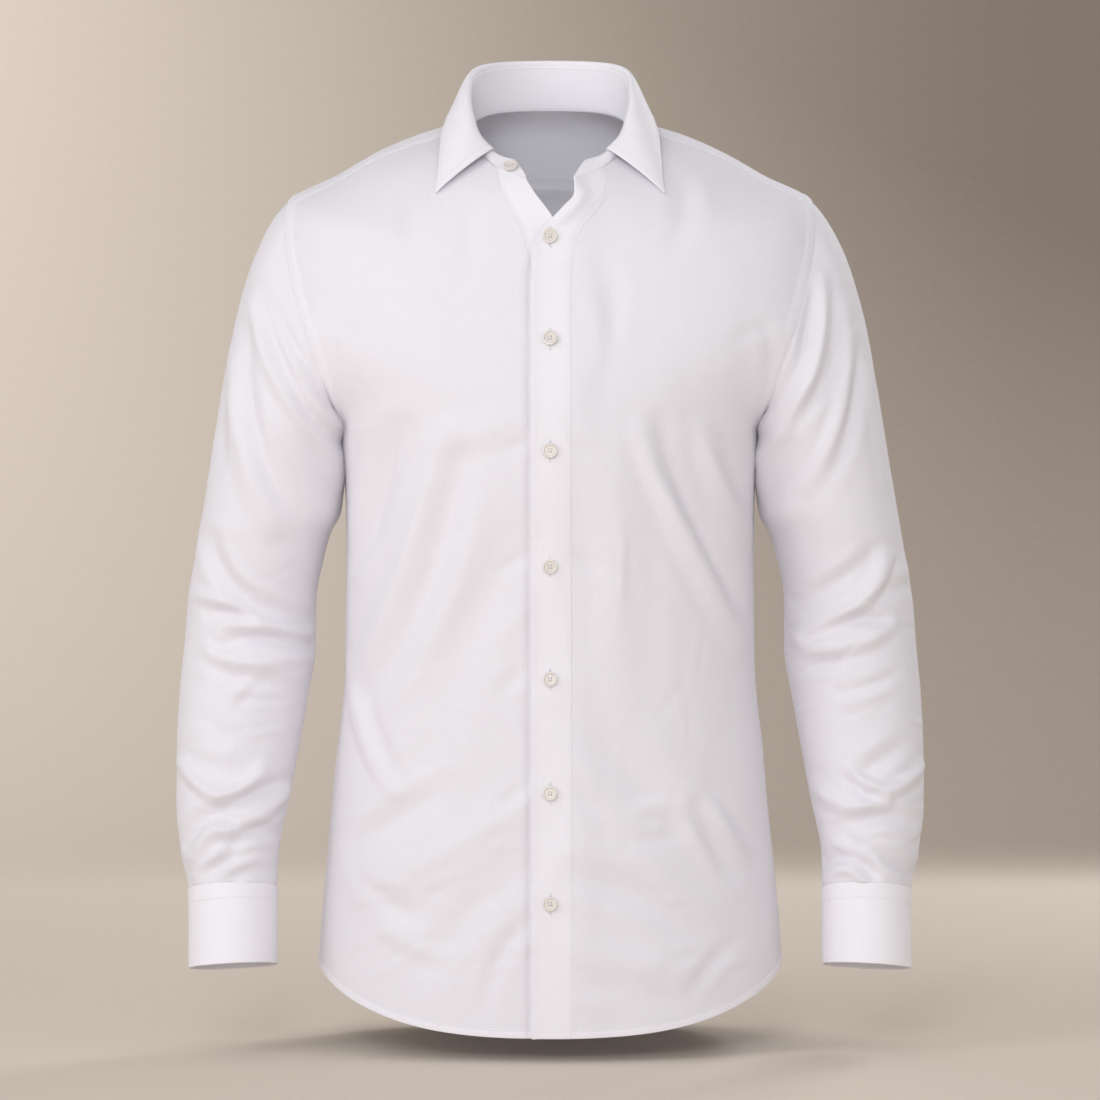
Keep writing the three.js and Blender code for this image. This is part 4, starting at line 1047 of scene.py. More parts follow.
def sleeveSheet(side):
    curves, angles, outs = [], [], []
    for part, isBack, sign in sleeveColumns():
        angle = sign * 180 * (1 - part)
        point, normal, out = armholeFrame(part, isBack)
        start = point + normal * cloth["armholeLift"] + out * cloth["seamGap"]
        end = tubePoint(angle, np.full(angle.shape, float(arm["topLevel"])))
        onward = unit(tubePoint(angle, np.full(angle.shape, arm["topLevel"] - arm["onwardStep"])) - end)
        span = np.linalg.norm(start - end, axis=-1, keepdims=True)
        turn = np.abs(angle)
        away = unit(np.stack([sleeveWay.out(turn), sleeveWay.back(turn) * np.sign(angle),
                              -sleeveWay.down(turn)], axis=-1))
        curves.append((start, start + away * span * arm["startReach"],
                       end - onward * span * arm["endReach"], end))
        angles.append(angle)
        outs.append(out)
    controls = [np.concatenate(parts) for parts in zip(*curves)]
    angle, out = np.concatenate(angles), np.concatenate(outs)
    t = np.linspace(0, 1, arm["topRows"] + 1)[:-1, None, None]
    top = (controls[0] * (1 - t) ** 3 + 3 * controls[1] * t * (1 - t) ** 2
           + 3 * controls[2] * t * t * (1 - t) + controls[3] * t ** 3)
    levels = np.linspace(arm["topLevel"], cuff["top"] + cloth["seamGap"] / 2, arm["tubeRows"] + 1)
    grid = np.concatenate([top, tubePoint(angle[None, :], levels[:, None])])
    down = np.gradient(grid, axis=0)
    around = np.roll(grid, -1, axis=1) - np.roll(grid, 1, axis=1)
    normal = unit(np.cross(down, around))
    middle = grid.mean(axis=1, keepdims=True)
    facing = np.sum(normal * (grid - middle), axis=-1, keepdims=True)
    normal = np.where(facing < 0, -normal, normal)
    started = smoothStep(np.arange(len(grid)) / (arm["firstRow"] * arm["topRows"]))[:, None]
    forward = np.sin(np.radians(angle))[None, :]
    x, z = grid[..., 0], grid[..., 2]
    frontFoldsHere = sleeveFoldsRight if side < 0 else sleeveFoldsLeft
    lift = smoothStep(forward * folding["sideFade"]) * foldsAt(frontFoldsHere, x, z)
    lift = lift + smoothStep(-forward * folding["sideFade"]) * foldsAt(sleeveBackFolds, x, z)
    lift = lift + armpitFold(angle[None, :], z) + unevenness(grid * np.array([side, 1, 1]))
    edgeway = normal - out * np.maximum(np.sum(normal * out, axis=-1, keepdims=True), 0)
    inward = unit(edgeway * (1 - started[..., None]) + normal * started[..., None])
    sheet = panel(grid, normal, lift * started, cloth["wall"], inward)
    return SimpleNamespace(outer=mirrored(sheet.outer, side), inner=mirrored(sheet.inner, side),
                           normal=mirrored(sheet.normal, side))


def cuffSheet(side):
    angle = np.linspace(cuff["underEnd"], cuff["overEnd"], 151)[None, :]
    down = np.array(edgeSteps["cuff"])
    height = cuff["top"] - cloth["seamGap"] / 2 - cuff["end"]
    below = np.linspace(down[-1], height - 3, 19)[1:]
    fromTop = np.concatenate([down, below, height - np.array(edgeSteps["cuffEnd"])])[:, None]
    level = cuff["top"] - cloth["seamGap"] / 2 - fromTop
    over = smoothStep((angle - cuff["overStart"]) / cuff["overTurn"])
    lift = cuff["proud"] + over * (cloth["cuffWall"] + cloth["layerGap"])
    lift = lift + seamRelief(doubled["cuffTop"], fromTop, angle * cuff["reachPerDegree"])
    point, normal = mirrored(tubePoint(angle, level), side), mirrored(tubeNormal(angle, level), side)
    lift = lift + cuff["unevenShare"] * unevenness(point)
    return panel(point, normal, lift, cloth["cuffWall"])


def placketSheet(side):
    across = np.linspace(-0.5, 0.5, 13)[None, :]
    peak = placket["top"] + (placket["point"] - placket["top"]) * (1 - np.abs(across) * 2)
    foot = cuff["top"] + placket["foot"]
    level = foot + (peak - foot) * np.linspace(0, 1, 61)[:, None]
    radius = (sleeve.depth(level) + (sleeve.outer(level) - sleeve.inner(level)) / 2) / 2
    angle = placket["angle"] + np.degrees(across * placket["width"] / radius)
    base = tubePoint(angle, level)
    back = smoothStep(-np.sin(np.radians(angle)) * folding["sideFade"])
    lift = back * foldsAt(sleeveBackFolds, base[..., 0], base[..., 2])
    lift = lift + cloth["wall"] + cloth["layerGap"]
    return panel(mirrored(base, side), mirrored(tubeNormal(angle, level), side), lift, cloth["wall"])


# The band stands up from the neck seam. Angles run all round from the left end.
bandSections = tableRows(
    ("angle", "out", "back", "rise"),
    [
        (16.7, 2, 4, 4),
        (24, 7, 18, 16),
        (32, 10, 21, 16),
        (45, 10, 19, 19),
        (65, 4, 12, 28),
        (90, 0, 3, 35),
        (120, 1, -2, 37.5),
        (180, 0, -2, 38),
    ],
)

# The leaf's lower edge, how far the leaf rises and bulges on the way there, and how it leans
leafSections = tableRows(
    ("angle", "x", "y", "z", "rise", "bulge", "lean"),
    [
        (38, 93, -80, -61, 6, 12, 0.02),
        (46, 91, -67, -46, 8, 13, 0.08),
        (56, 90, -46, -27, 10, 11, 0.2),
        (70, 89, -18, -7, 12, 7, 0.3),
        (92, 86, 18, 9, 13, 2, 0.36),
        (120, 77, 51, 17, 13, 1, 0.36),
        (150, 49, 79, 19, 12, 1, 0.36),
        (180, 0, 89, 20, 12, 1, 0.36),
    ],
)
band = tableCurves(bandSections, "angle")
leaf = tableCurves(leafSections, "angle")
collar = {
    "seamRise": 0.32,
    "leafGap": 0.5,
    "edgeReach": 0.6,
    "rollShare": 0.5,
    "crowding": 1.35,
    "startColumn": 2,
}


def neckAngle(column):
    return neckEndAngle + (seams["shoulderAngle"] - neckEndAngle) * column / seams["neckColumns"]


def bandEdges(angle):
    half = np.where(angle > 180, 360 - angle, angle)
    turn = np.radians(angle)
    foot = bodyPoint(angle, np.zeros(angle.shape)) + np.array([0, 0, collar["seamRise"]])
    rise = np.stack([np.sin(turn) * band.out(half), band.back(half), band.rise(half)], axis=-1)
    return foot, foot + rise, half


def bandNormal(angle):
    foot, top, _ = bandEdges(angle)
    around = bandEdges(angle + 1)[0] - bandEdges(angle - 1)[0]
    return unit(np.cross(around, top - foot))


def bandSheet():
    angle = np.linspace(neckEndAngle, 360 - neckEndAngle, 301)
    foot, top, _ = bandEdges(angle)
    normal = bandNormal(angle)
    share = np.linspace(0, 1, 17)[:, None, None]
    point = foot * (1 - share) + top * share
    up = unit(bodyPoint(angle, np.zeros(angle.shape)) - bodyPoint(angle, np.full(angle.shape, -0.05)))
    flatter = unit(normal - up * np.maximum(np.sum(normal * up, axis=-1, keepdims=True), 0))
    near = smoothStep(share * 3)
    inward = unit(flatter * (1 - near) + normal * near)
    wide = np.broadcast_to(normal, point.shape)
    return panel(point, wide, np.zeros(point.shape[:2]), cloth["bandWall"], inward)


def leafSheet():
    start = neckAngle(collar["startColumn"])
    angle = np.linspace(start, 360 - start, 281)
    _, top, half = bandEdges(angle)
    side = np.where(angle > 180, -1, 1)
    along = bandEdges(angle + 1)[1] - bandEdges(angle - 1)[1]
    normal = bandNormal(angle)
    up = unit(np.cross(normal, along))
    edge = np.stack([side * leaf.x(half), leaf.y(half), leaf.z(half)], axis=-1)
    first = top + up * collar["leafGap"]
    fall = first - edge
    reach = np.linalg.norm(fall, axis=-1, keepdims=True)
    fall[:, 2] += reach[:, 0] * leaf.lean(half)
    off = normal * np.array([1, 1, 0])
    off = unit(off) * leaf.bulge(half)[:, None]
    second = first + up * leaf.rise(half)[:, None] + off * collar["rollShare"]
    third = edge + unit(fall) * reach * collar["edgeReach"] + off
    t = (np.linspace(0, 1, 41) ** collar["crowding"])[:, None, None]
    point = first * (1 - t) ** 3 + 3 * second * t * (1 - t) ** 2 + 3 * third * t * t * (1 - t) + edge * t ** 3
    around = np.gradient(point, axis=1)
    down = np.gradient(point, axis=0)
    away = unit(np.cross(around, down))
    away[0] = normal
    return panel(point, away, np.zeros(point.shape[:2]), cloth["leafWall"])


# The left front's edge rolls outwards in the open neck. Between buttons both edges stand off a little.
frontEdgeForm = {
    "rollTop": -22,
    "rollBottom": -100,
    "rollFade": 30,
    "rollWidth": 8,
    "rollLift": 4,
    "rightRollShare": 0.3,
    "lensTop": -54,
    "lensBottom": -94,
    "lensFade": 14,
    "lensAway": 7.5,
    "lensLift": 2.6,
    "lensWidth": 4.2,
    "lensDip": 3,
    "lensDipWidth": 4,
    "edgeLift": 0.8,
    "foldWidth": 3,
    "foldWall": 0.8,
    "trough": 1.6,
    "troughAway": 2.4,
    "troughWidth": 2.6,
    "troughTop": -78,
    "troughFade": 22,
    "gape": 0.8,
    "gapeWidth": 9,
    "press": 0.5,
    "pressWidth": 9,
}
frontButtonHeights = (-98, -181, -270, -362, -452, -543, -631)


def edgeForm(side, point, level, edgeAway):
    z = point[..., 2]
    form = frontEdgeForm
    window = smoothStep((form["rollTop"] - z) / form["rollFade"])
    window = window * smoothStep((z - form["rollBottom"]) / form["rollFade"])
    rolled = form["rollLift"] if side > 0 else form["rightRollShare"] * form["rollLift"]
    lift = rolled * window * np.exp(-(edgeAway / form["rollWidth"]) ** 2)
    heights = np.array(frontButtonHeights, float)[::-1]
    numbers = np.interp(z, heights, np.arange(len(heights), dtype=float))
    between = np.sin(np.pi * numbers) ** 2
    if side > 0:
        lift = lift + form["gape"] * between * np.exp(-(edgeAway / form["gapeWidth"]) ** 2)
        lift = lift + form["edgeLift"] * np.exp(-(edgeAway / form["foldWidth"]) ** 2)
        lens = smoothStep((form["lensTop"] - z) / form["lensFade"])
        lens = lens * smoothStep((z - form["lensBottom"]) / form["lensFade"])
        ridge = form["lensLift"] * np.exp(-((edgeAway - form["lensAway"]) / form["lensWidth"]) ** 2)
        dip = form["lensDip"] * np.exp(-(edgeAway / form["lensDipWidth"]) ** 2)
        lift = lift + lens * (ridge - dip)
    else:
        beside = point[..., 0] - frontEdge.left(level) + form["troughAway"]
        below = smoothStep((form["troughTop"] - z) / form["troughFade"])
        lift = lift - form["trough"] * below * np.exp(-(beside / form["troughWidth"]) ** 2)
    for height in frontButtonHeights:
        near = np.hypot(point[..., 0], z - height) / form["pressWidth"]
        lift = lift - form["press"] * np.exp(-near ** 2)
    return lift


def frontSheet(side):
    angle, level = frontPlaces(side, {"columns": 5, "rows": 7})
    angle, level = refit(angle, level, edgeSteps["placket"], edgeSteps["armhole"], 58)
    angle, level = refitRows(angle, level, edgeSteps["hem"], edgeSteps["plain"], 200)
    plain = bodyPoint(angle, level)
    armAway, armAlong = awayFrom(plain, armLine(False))
    sideAway, sideAlong = awayFrom(plain, sideLine())
    hemAway, hemAlong = awayFrom(plain, plain[0])
    edgeAway, edgeAlong = awayFrom(plain, plain[:, 0])
    rowAway = edgeDistances(plain).left
    angle = side * angle
    point = bodyPoint(angle, level)
    over = smoothStep((overlap["width"] + overlap["fade"] - side * point[..., 0]) / overlap["fade"])
    fromNeck = smoothStep((overlap["neckStart"] - level) / overlap["neckFade"])
    lift = (overlap["lift"] * over * fromNeck if side > 0 else 0)
    lift = lift + bodyLift(angle, level, frontFolds, False) + unevenness(point)
    lift = lift + easedLift(point, False, armAway, sideAway)
    lift = lift + seamRelief(doubled["armhole"], armAway, armAlong)
    lift = lift + seamRelief(doubled["side"], sideAway, sideAlong)
    lift = lift + seamRelief(doubled["hem"], hemAway, hemAlong)
    lift = lift + seamRelief(doubled["placket"], rowAway, edgeAlong)
    lift = lift + edgeForm(side, point, level, edgeAway)
    thick = smoothStep(doubled["hem"]["band"] - hemAway)
    thick = thick + smoothStep(doubled["placket"]["band"] - rowAway + 0.5)
    folded = np.exp(-(edgeAway / frontEdgeForm["foldWidth"]) ** 2)
    wall = cloth["wall"] * (1 + cloth["doubledShare"] * np.minimum(thick, 1))
    wall = wall + frontEdgeForm["foldWall"] * folded
    sheet = panel(point, bodyNormal(angle, level), lift, wall)
    doubledHere = thick + inBand("armhole", armAway)
    sheet.layers = np.minimum(doubledHere + inBand("side", sideAway) * (level < seams["armpitLevel"]), 1)
    return sheet


def backSheet():
    angle, level = backPlaces({"columns": 6, "rows": 7})
    angle, level = refit(angle, level, edgeSteps["armhole"], edgeSteps["armhole"], 126)
    angle, level = refitRows(angle, level, edgeSteps["hem"], edgeSteps["plain"], 190)
    point = bodyPoint(angle, level)
    halved = point * np.array([np.sign(point[0, 0, 0]), 1, 1])
    halved[..., 0] = np.abs(halved[..., 0])
    armAway, armAlong = awayFrom(halved, armLine(True))
    sideAway, sideAlong = awayFrom(halved, sideLine())
    hemAway, hemAlong = awayFrom(point, point[0])
    pleatTop = seams["yokeSeamLevel"] + seams["yokeSeamRise"] - cloth["seamGap"]
    below = smoothStep((pleatTop - level) / pleat["seamFade"])
    lift = bodyLift(angle, level, backFolds, True) + unevenness(point)
    lift = lift + easedLift(point, True, armAway, sideAway)
    lift = lift + below * pleat["lift"] * inPleat(point, level)
    lift = lift + seamRelief(doubled["armhole"], armAway, armAlong)
    lift = lift + seamRelief(doubled["side"], sideAway, sideAlong)
    lift = lift + seamRelief(doubled["hem"], hemAway, hemAlong)
    wall = cloth["wall"] * (1 + cloth["doubledShare"] * inBand("hem", hemAway))
    sheet = panel(point, bodyNormal(angle, level), lift, wall)
    doubledHere = inBand("hem", hemAway) + inBand("armhole", armAway)
    sheet.layers = np.minimum(doubledHere + inBand("side", sideAway) * (level < seams["armpitLevel"]), 1)
    return sheet


# The yoke is cut twice, and its seams are thicker still
yokeLayers = {"plain": 0.7, "seam": 0.3}


def yokeSheet():
    angle, level = yokePlaces({"columns": 6})
    angle, level = refit(angle, level, edgeSteps["shoulder"], edgeSteps["shoulder"], 108)
    angle, level = refitRows(angle, level, edgeSteps["plain"], edgeSteps["armhole"], 24)
    point = bodyPoint(angle, level)
    halved = np.stack([np.abs(point[..., 0]), point[..., 1], point[..., 2]], axis=-1)
    armAway, armAlong = awayFrom(halved, np.concatenate([armLine(False), armLine(True)[::-1]]))
    shoulderAway, shoulderAlong = awayFrom(halved, halved[:, 0])
    share = np.linspace(0, 1, 200)
    seamAngles, seamLevels = yokeSeamPlace(share)
    seamAway, seamAlong = awayFrom(point, bodyPoint(seamAngles, seamLevels))
    lift = bodyLift(angle, level, backFolds, True) + unevenness(point)
    lift = lift + seamRelief(doubled["armhole"], armAway, armAlong)
    lift = lift + seamRelief(doubled["shoulder"], shoulderAway, shoulderAlong)
    lift = lift + seamRelief(doubled["shoulder"], seamAway, seamAlong)
    sheet = panel(point, bodyNormal(angle, level), lift, cloth["wall"])
    seamed = inBand("armhole", armAway) + inBand("shoulder", shoulderAway) + inBand("shoulder", seamAway)
    sheet.layers = yokeLayers["plain"] + yokeLayers["seam"] * np.minimum(seamed, 1)
    return sheet


print("materials")


def socketsOf(group, inputs, outputs):
    for name, kind, value in inputs:
        group.interface.new_socket(name, in_out="INPUT", socket_type=kind).default_value = value
    for name, kind in outputs:
        group.interface.new_socket(name, in_out="OUTPUT", socket_type=kind)
    return group.nodes.new("NodeGroupInput"), group.nodes.new("NodeGroupOutput")


def addNode(tree, kind, settings=None, values=None):
    node = tree.nodes.new(kind)
    for name, value in (settings or {}).items():
        setattr(node, name, value)
    for name, value in (values or {}).items():
        node.inputs[name].default_value = value
    return node


clampedSum = {"operation": "MULTIPLY_ADD", "use_clamp": True}


# Plain weave. Warp and weft cross at each yarn, and a few yarns are thicker than the rest.
def weaveGroup():
    group = bpy.data.node_groups.new("plainWeave", "ShaderNodeTree")
    inputs, outputs = socketsOf(group, [
        ("Vector", "NodeSocketVector", (0, 0, 0)),
        ("Yarn", "NodeSocketFloat", 0.0004),
        ("Slub", "NodeSocketFloat", 0.5),
    ], [("Height", "NodeSocketFloat"), ("Shade", "NodeSocketFloat")])
    link = group.links.new
    split = addNode(group, "ShaderNodeSeparateXYZ")
    link(inputs.outputs["Vector"], split.inputs[0])
    waves = []
    for axis in ("X", "Y"):
        turns = addNode(group, "ShaderNodeMath", {"operation": "DIVIDE"})
        link(split.outputs[axis], turns.inputs[0])
        link(inputs.outputs["Yarn"], turns.inputs[1])
        angle = addNode(group, "ShaderNodeMath", {"operation": "MULTIPLY"}, {1: math.pi})
        link(turns.outputs[0], angle.inputs[0])
        wave = addNode(group, "ShaderNodeMath", {"operation": "SINE"})
        link(angle.outputs[0], wave.inputs[0])
        waves.append(wave)
    crossing = addNode(group, "ShaderNodeMath", {"operation": "MULTIPLY"})
    link(waves[0].outputs[0], crossing.inputs[0])
    link(waves[1].outputs[0], crossing.inputs[1])
    slubs = []
    for scale in ((55, 820, 1), (900, 45, 1)):
        place = addNode(group, "ShaderNodeMapping", {"vector_type": "POINT"}, {"Scale": scale})
        link(inputs.outputs["Vector"], place.inputs["Vector"])
        slub = addNode(group, "ShaderNodeTexNoise", {"noise_dimensions": "2D"}, {"Scale": 1, "Detail": 2})
        link(place.outputs[0], slub.inputs["Vector"])
        slubs.append(slub)
    both = addNode(group, "ShaderNodeMath", {"operation": "ADD"})
    link(slubs[0].outputs[0], both.inputs[0])
    link(slubs[1].outputs[0], both.inputs[1])
    centred = addNode(group, "ShaderNodeMath", {"operation": "SUBTRACT"}, {1: 1})
    link(both.outputs[0], centred.inputs[0])
    thick = addNode(group, "ShaderNodeMath", {"operation": "MULTIPLY"})
    link(centred.outputs[0], thick.inputs[0])
    link(inputs.outputs["Slub"], thick.inputs[1])
    height = addNode(group, "ShaderNodeMath", {"operation": "MULTIPLY_ADD"}, {1: 0.5})
    link(crossing.outputs[0], height.inputs[0])
    link(thick.outputs[0], height.inputs[2])
    link(height.outputs[0], outputs.inputs["Height"])
    # Shade is painted shade: low places of the weave come out darker, raised yarns lighter
    shade = addNode(group, "ShaderNodeMath", clampedSum, {1: 0.35, 2: 0.5})
    link(height.outputs[0], shade.inputs[0])
    link(shade.outputs[0], outputs.inputs["Shade"])
    return group


weave = weaveGroup()
# Cloth in one layer lets some light through, and doubled cloth is whiter
clothColours = {
    # deep and raised are the weave's painted shade in its low places and its painted light on the tops, with
    # random tone mixed in
    "deep": (0.780, 0.764, 0.812, 1),
    "raised": (0.856, 0.839, 0.890, 1),
    "doubledDeep": (0.832, 0.816, 0.866, 1),
    "doubledRaised": (0.906, 0.889, 0.942, 1),
    "fusedDeep": (0.850, 0.834, 0.885, 1),
    "fusedRaised": (0.918, 0.901, 0.953, 1),
}


clothFinish = {
    "yarn": 0.00042,
    "slub": 1.1,
    "sheen": 0.12,
    "sheenRoughness": 0.5,
    "specular": 0.32,
    "cloudScale": 9,
    "cloudShare": 0.3,
    "bumpDepth": 0.0002,
}


def clothMaterial(name, bump, roughness, thick):
    material = bpy.data.materials.new(name)
    material.use_nodes = True
    tree = material.node_tree
    link = tree.links.new
    shader = tree.nodes["Principled BSDF"]
    shader.inputs["Sheen Weight"].default_value = clothFinish["sheen"]
    shader.inputs["Sheen Roughness"].default_value = clothFinish["sheenRoughness"]
    shader.inputs["Specular IOR Level"].default_value = clothFinish["specular"]
    place = addNode(tree, "ShaderNodeUVMap", {"uv_map": "cloth"})
    yarns = {"Yarn": clothFinish["yarn"], "Slub": clothFinish["slub"]}
    woven = addNode(tree, "ShaderNodeGroup", {"node_tree": weave}, yarns)
    link(place.outputs[0], woven.inputs["Vector"])
    cloud = {"Scale": clothFinish["cloudScale"], "Detail": 3}
    soft = addNode(tree, "ShaderNodeTexNoise", {"noise_dimensions": "2D"}, cloud)
    link(place.outputs[0], soft.inputs["Vector"])
    share = clothFinish["cloudShare"]
    mixed = addNode(tree, "ShaderNodeMath", clampedSum, {1: share, 2: -share / 2})
    link(soft.outputs[0], mixed.inputs[0])
    tone = addNode(tree, "ShaderNodeMath", {"operation": "ADD", "use_clamp": True})
    link(woven.outputs["Shade"], tone.inputs[0])
    link(mixed.outputs[0], tone.inputs[1])
    tones = []
    for deep, high in (("deep", "raised"), (thick + "Deep", thick + "Raised")):
        ramp = addNode(tree, "ShaderNodeMix", {"data_type": "RGBA"})
        ramp.inputs[6].default_value = clothColours[deep]
        ramp.inputs[7].default_value = clothColours[high]
        link(tone.outputs[0], ramp.inputs[0])
        tones.append(ramp)
    layers = addNode(tree, "ShaderNodeAttribute", {"attribute_name": "layers"})
    layered = addNode(tree, "ShaderNodeMix", {"data_type": "RGBA"})
    link(layers.outputs["Fac"], layered.inputs[0])
    link(tones[0].outputs[2], layered.inputs[6])
    link(tones[1].outputs[2], layered.inputs[7])
    link(layered.outputs[2], shader.inputs["Base Color"])
    rough = addNode(tree, "ShaderNodeMapRange", None, {3: roughness + 0.08, 4: roughness - 0.06})
    link(tone.outputs[0], rough.inputs[0])
    link(rough.outputs[0], shader.inputs["Roughness"])
    raised = addNode(tree, "ShaderNodeBump", None, {"Strength": bump, "Distance": clothFinish["bumpDepth"]})
    link(woven.outputs["Height"], raised.inputs["Height"])
    link(raised.outputs[0], shader.inputs["Normal"])
    return material


def threadMaterial():
    material = bpy.data.materials.new("sewingThread")
    material.use_nodes = True
    tree = material.node_tree
    shader = tree.nodes["Principled BSDF"]
    shader.inputs["Sheen Weight"].default_value = 0.1
    place = addNode(tree, "ShaderNodeTexCoord")
    strand = addNode(tree, "ShaderNodeTexNoise", None, {"Scale": 2600, "Detail": 2})
    tree.links.new(place.outputs["Object"], strand.inputs["Vector"])
    tone = addNode(tree, "ShaderNodeMix", {"data_type": "RGBA"})
    tone.inputs[6].default_value = (0.80, 0.79, 0.83, 1)
    tone.inputs[7].default_value = (0.90, 0.89, 0.93, 1)
    tree.links.new(strand.outputs[0], tone.inputs[0])
    tree.links.new(tone.outputs[2], shader.inputs["Base Color"])
    rough = addNode(tree, "ShaderNodeMapRange", None, {3: 0.62, 4: 0.48})
    tree.links.new(strand.outputs[0], rough.inputs[0])
    tree.links.new(rough.outputs[0], shader.inputs["Roughness"])
    return material


# Pearly resin: cloudy cream with a faint drift of warm and cool
def shellMaterial():
    material = bpy.data.materials.new("pearlButton")
    material.use_nodes = True
    tree = material.node_tree
    shader = tree.nodes["Principled BSDF"]
    shader.inputs["Coat Weight"].default_value = 0.5
    shader.inputs["Coat Roughness"].default_value = 0.12
    place = addNode(tree, "ShaderNodeTexCoord")
    cloud = addNode(tree, "ShaderNodeTexNoise", None, {"Scale": 260, "Detail": 3, "Distortion": 1.4})
    tree.links.new(place.outputs["Object"], cloud.inputs["Vector"])
    tone = addNode(tree, "ShaderNodeMix", {"data_type": "RGBA"})
    tone.inputs[6].default_value = (0.66, 0.61, 0.55, 1)
    tone.inputs[7].default_value = (0.84, 0.80, 0.76, 1)
    tree.links.new(cloud.outputs[0], tone.inputs[0])
    tree.links.new(tone.outputs[2], shader.inputs["Base Color"])
    rough = addNode(tree, "ShaderNodeMapRange", None, {3: 0.34, 4: 0.22})
    tree.links.new(cloud.outputs[0], rough.inputs[0])
    tree.links.new(rough.outputs[0], shader.inputs["Roughness"])
    return material


poplin = clothMaterial("whitePoplin", bump=0.34, roughness=0.74, thick="doubled")
fusedPoplin = clothMaterial("fusedPoplin", bump=0.24, roughness=0.66, thick="fused")
sewingThread = threadMaterial()
shellButton = shellMaterial()

# Sewing thread. Each stitch is a small grain of thread, and all of them are joined in one mesh.
thread = {"length": 2.3, "pitch": 3.0, "half": 0.27, "proud": 0.1, "probe": 0.8}
grainPoints = np.array([
    (-1, 0, 0), (-0.55, 1, 0), (-0.55, 0, 1), (-0.55, -1, 0), (-0.55, 0, -1),
    (0.55, 1, 0), (0.55, 0, 1), (0.55, -1, 0), (0.55, 0, -1), (1, 0, 0),
], float)
grainFaces = np.array([
    (0, 1, 2), (0, 2, 3), (0, 3, 4), (0, 4, 1), (9, 6, 5), (9, 7, 6), (9, 8, 7), (9, 5, 8),
    (1, 5, 6), (1, 6, 2), (2, 6, 7), (2, 7, 3), (3, 7, 8), (3, 8, 4), (4, 8, 5), (4, 5, 1),
])


# Grains of thread at places, each along its own way and lying on its own normal
def grains(places, ways, normals, length, half):
    ways = unit(ways)
    sideways = unit(np.cross(normals, ways))
    up = np.cross(ways, sideways)
    scale = grainPoints * np.array([length / 2, half, half])
    points = (places[:, None] + scale[None, :, :1] * ways[:, None]
              + scale[None, :, 1:2] * sideways[:, None] + scale[None, :, 2:] * up[:, None])
    faces = grainFaces[None] + (np.arange(len(places)) * len(grainPoints))[:, None, None]
    return points.reshape(-1, 3), faces.reshape(-1, 3)


# Stitches along a line on a grid, at a distance from one of its edges
def stitchLine(points, normals):
    step = np.linalg.norm(np.diff(points, axis=0), axis=1)
    along = np.concatenate([[0], np.cumsum(step)])
    marks = np.arange(thread["pitch"] / 2, along[-1], thread["pitch"])

    def sample(values):
        return np.stack([np.interp(marks, along, values[:, axis]) for axis in range(3)], axis=-1)

    place, normal = sample(points), unit(sample(normals))
    probe = thread["probe"]
    way = np.stack([np.interp(marks + probe, along, points[:, axis])
                    - np.interp(marks - probe, along, points[:, axis]) for axis in range(3)], axis=-1)
    return grains(place + normal * thread["proud"], way, normal, thread["length"], thread["half"])


def joined(name, parts, material):
    points, faces, made = [], [], 0
    for partPoints, partFaces in parts:
        points.append(partPoints)
        faces.append(partFaces + made)
        made += len(partPoints)
    piece = newMesh(name, np.concatenate(points), np.concatenate(faces))
    piece.data.materials.append(material)
    return piece


# A line on a grid at a distance from one edge whose steps are known
def lineAt(sheet, steps, distance, edge):
    at = np.interp(distance, steps, np.arange(len(steps)))
    low = int(at)
    share = at - low
    grid, way = sheet.outer, sheet.normal
    if edge in ("left", "right"):
        grid, way = np.swapaxes(grid, 0, 1), np.swapaxes(way, 0, 1)
    if edge in ("right", "top"):
        grid, way = grid[::-1], way[::-1]
    along = grid[low] * (1 - share) + grid[low + 1] * share
    return along, unit(way[low] * (1 - share) + way[low + 1] * share)


def stitchesWhere(points, normals, keep):
    runs = np.flatnonzero(keep)
    if len(runs) < 3:
        return []
    return [stitchLine(points[runs[0]:runs[-1] + 1], normals[runs[0]:runs[-1] + 1])]


print("cloth pieces")
sheets = {
    "front_right": ("frontRight", frontSheet(-1)),
    "front_left": ("frontLeft", frontSheet(1)),
    "back": ("backPanel", backSheet()),
    "yoke": ("yokePanel", yokeSheet()),
    "collar_band": ("collarBand", bandSheet()),
    "collar_leaf": ("collarLeaf", leafSheet()),
}
for hand, side in (("Right", -1), ("Left", 1)):
    node = hand.lower()
    sheets[f"sleeve_{node}"] = (f"sleeve{hand}", sleeveSheet(side))
    sheets[f"cuff_{node}"] = (f"cuff{hand}", cuffSheet(side))
    sheets[f"placket_{node}"] = (f"placket{hand}", placketSheet(side))
pieces = {}
for node, (name, sheet) in sheets.items():
    stiff = node.startswith(("collar", "cuff"))
    isDoubled = stiff or "placket" in node
    layers = getattr(sheet, "layers", np.full(sheet.outer.shape[:2], float(isDoubled)))
    pieces[node] = wallPiece(name, sheet, {"layers": layers}, around="sleeve" in node)
    pieces[node].data.materials.append(fusedPoplin if stiff else poplin)

print("stitches")
stitchParts = []
underArm = 3      # the rows stop this far from the underarm's level


def addStitches(points, normals, keep=None):
    everywhere = np.full(len(points), True)
    stitchParts.extend(stitchesWhere(points, normals, everywhere if keep is None else keep))


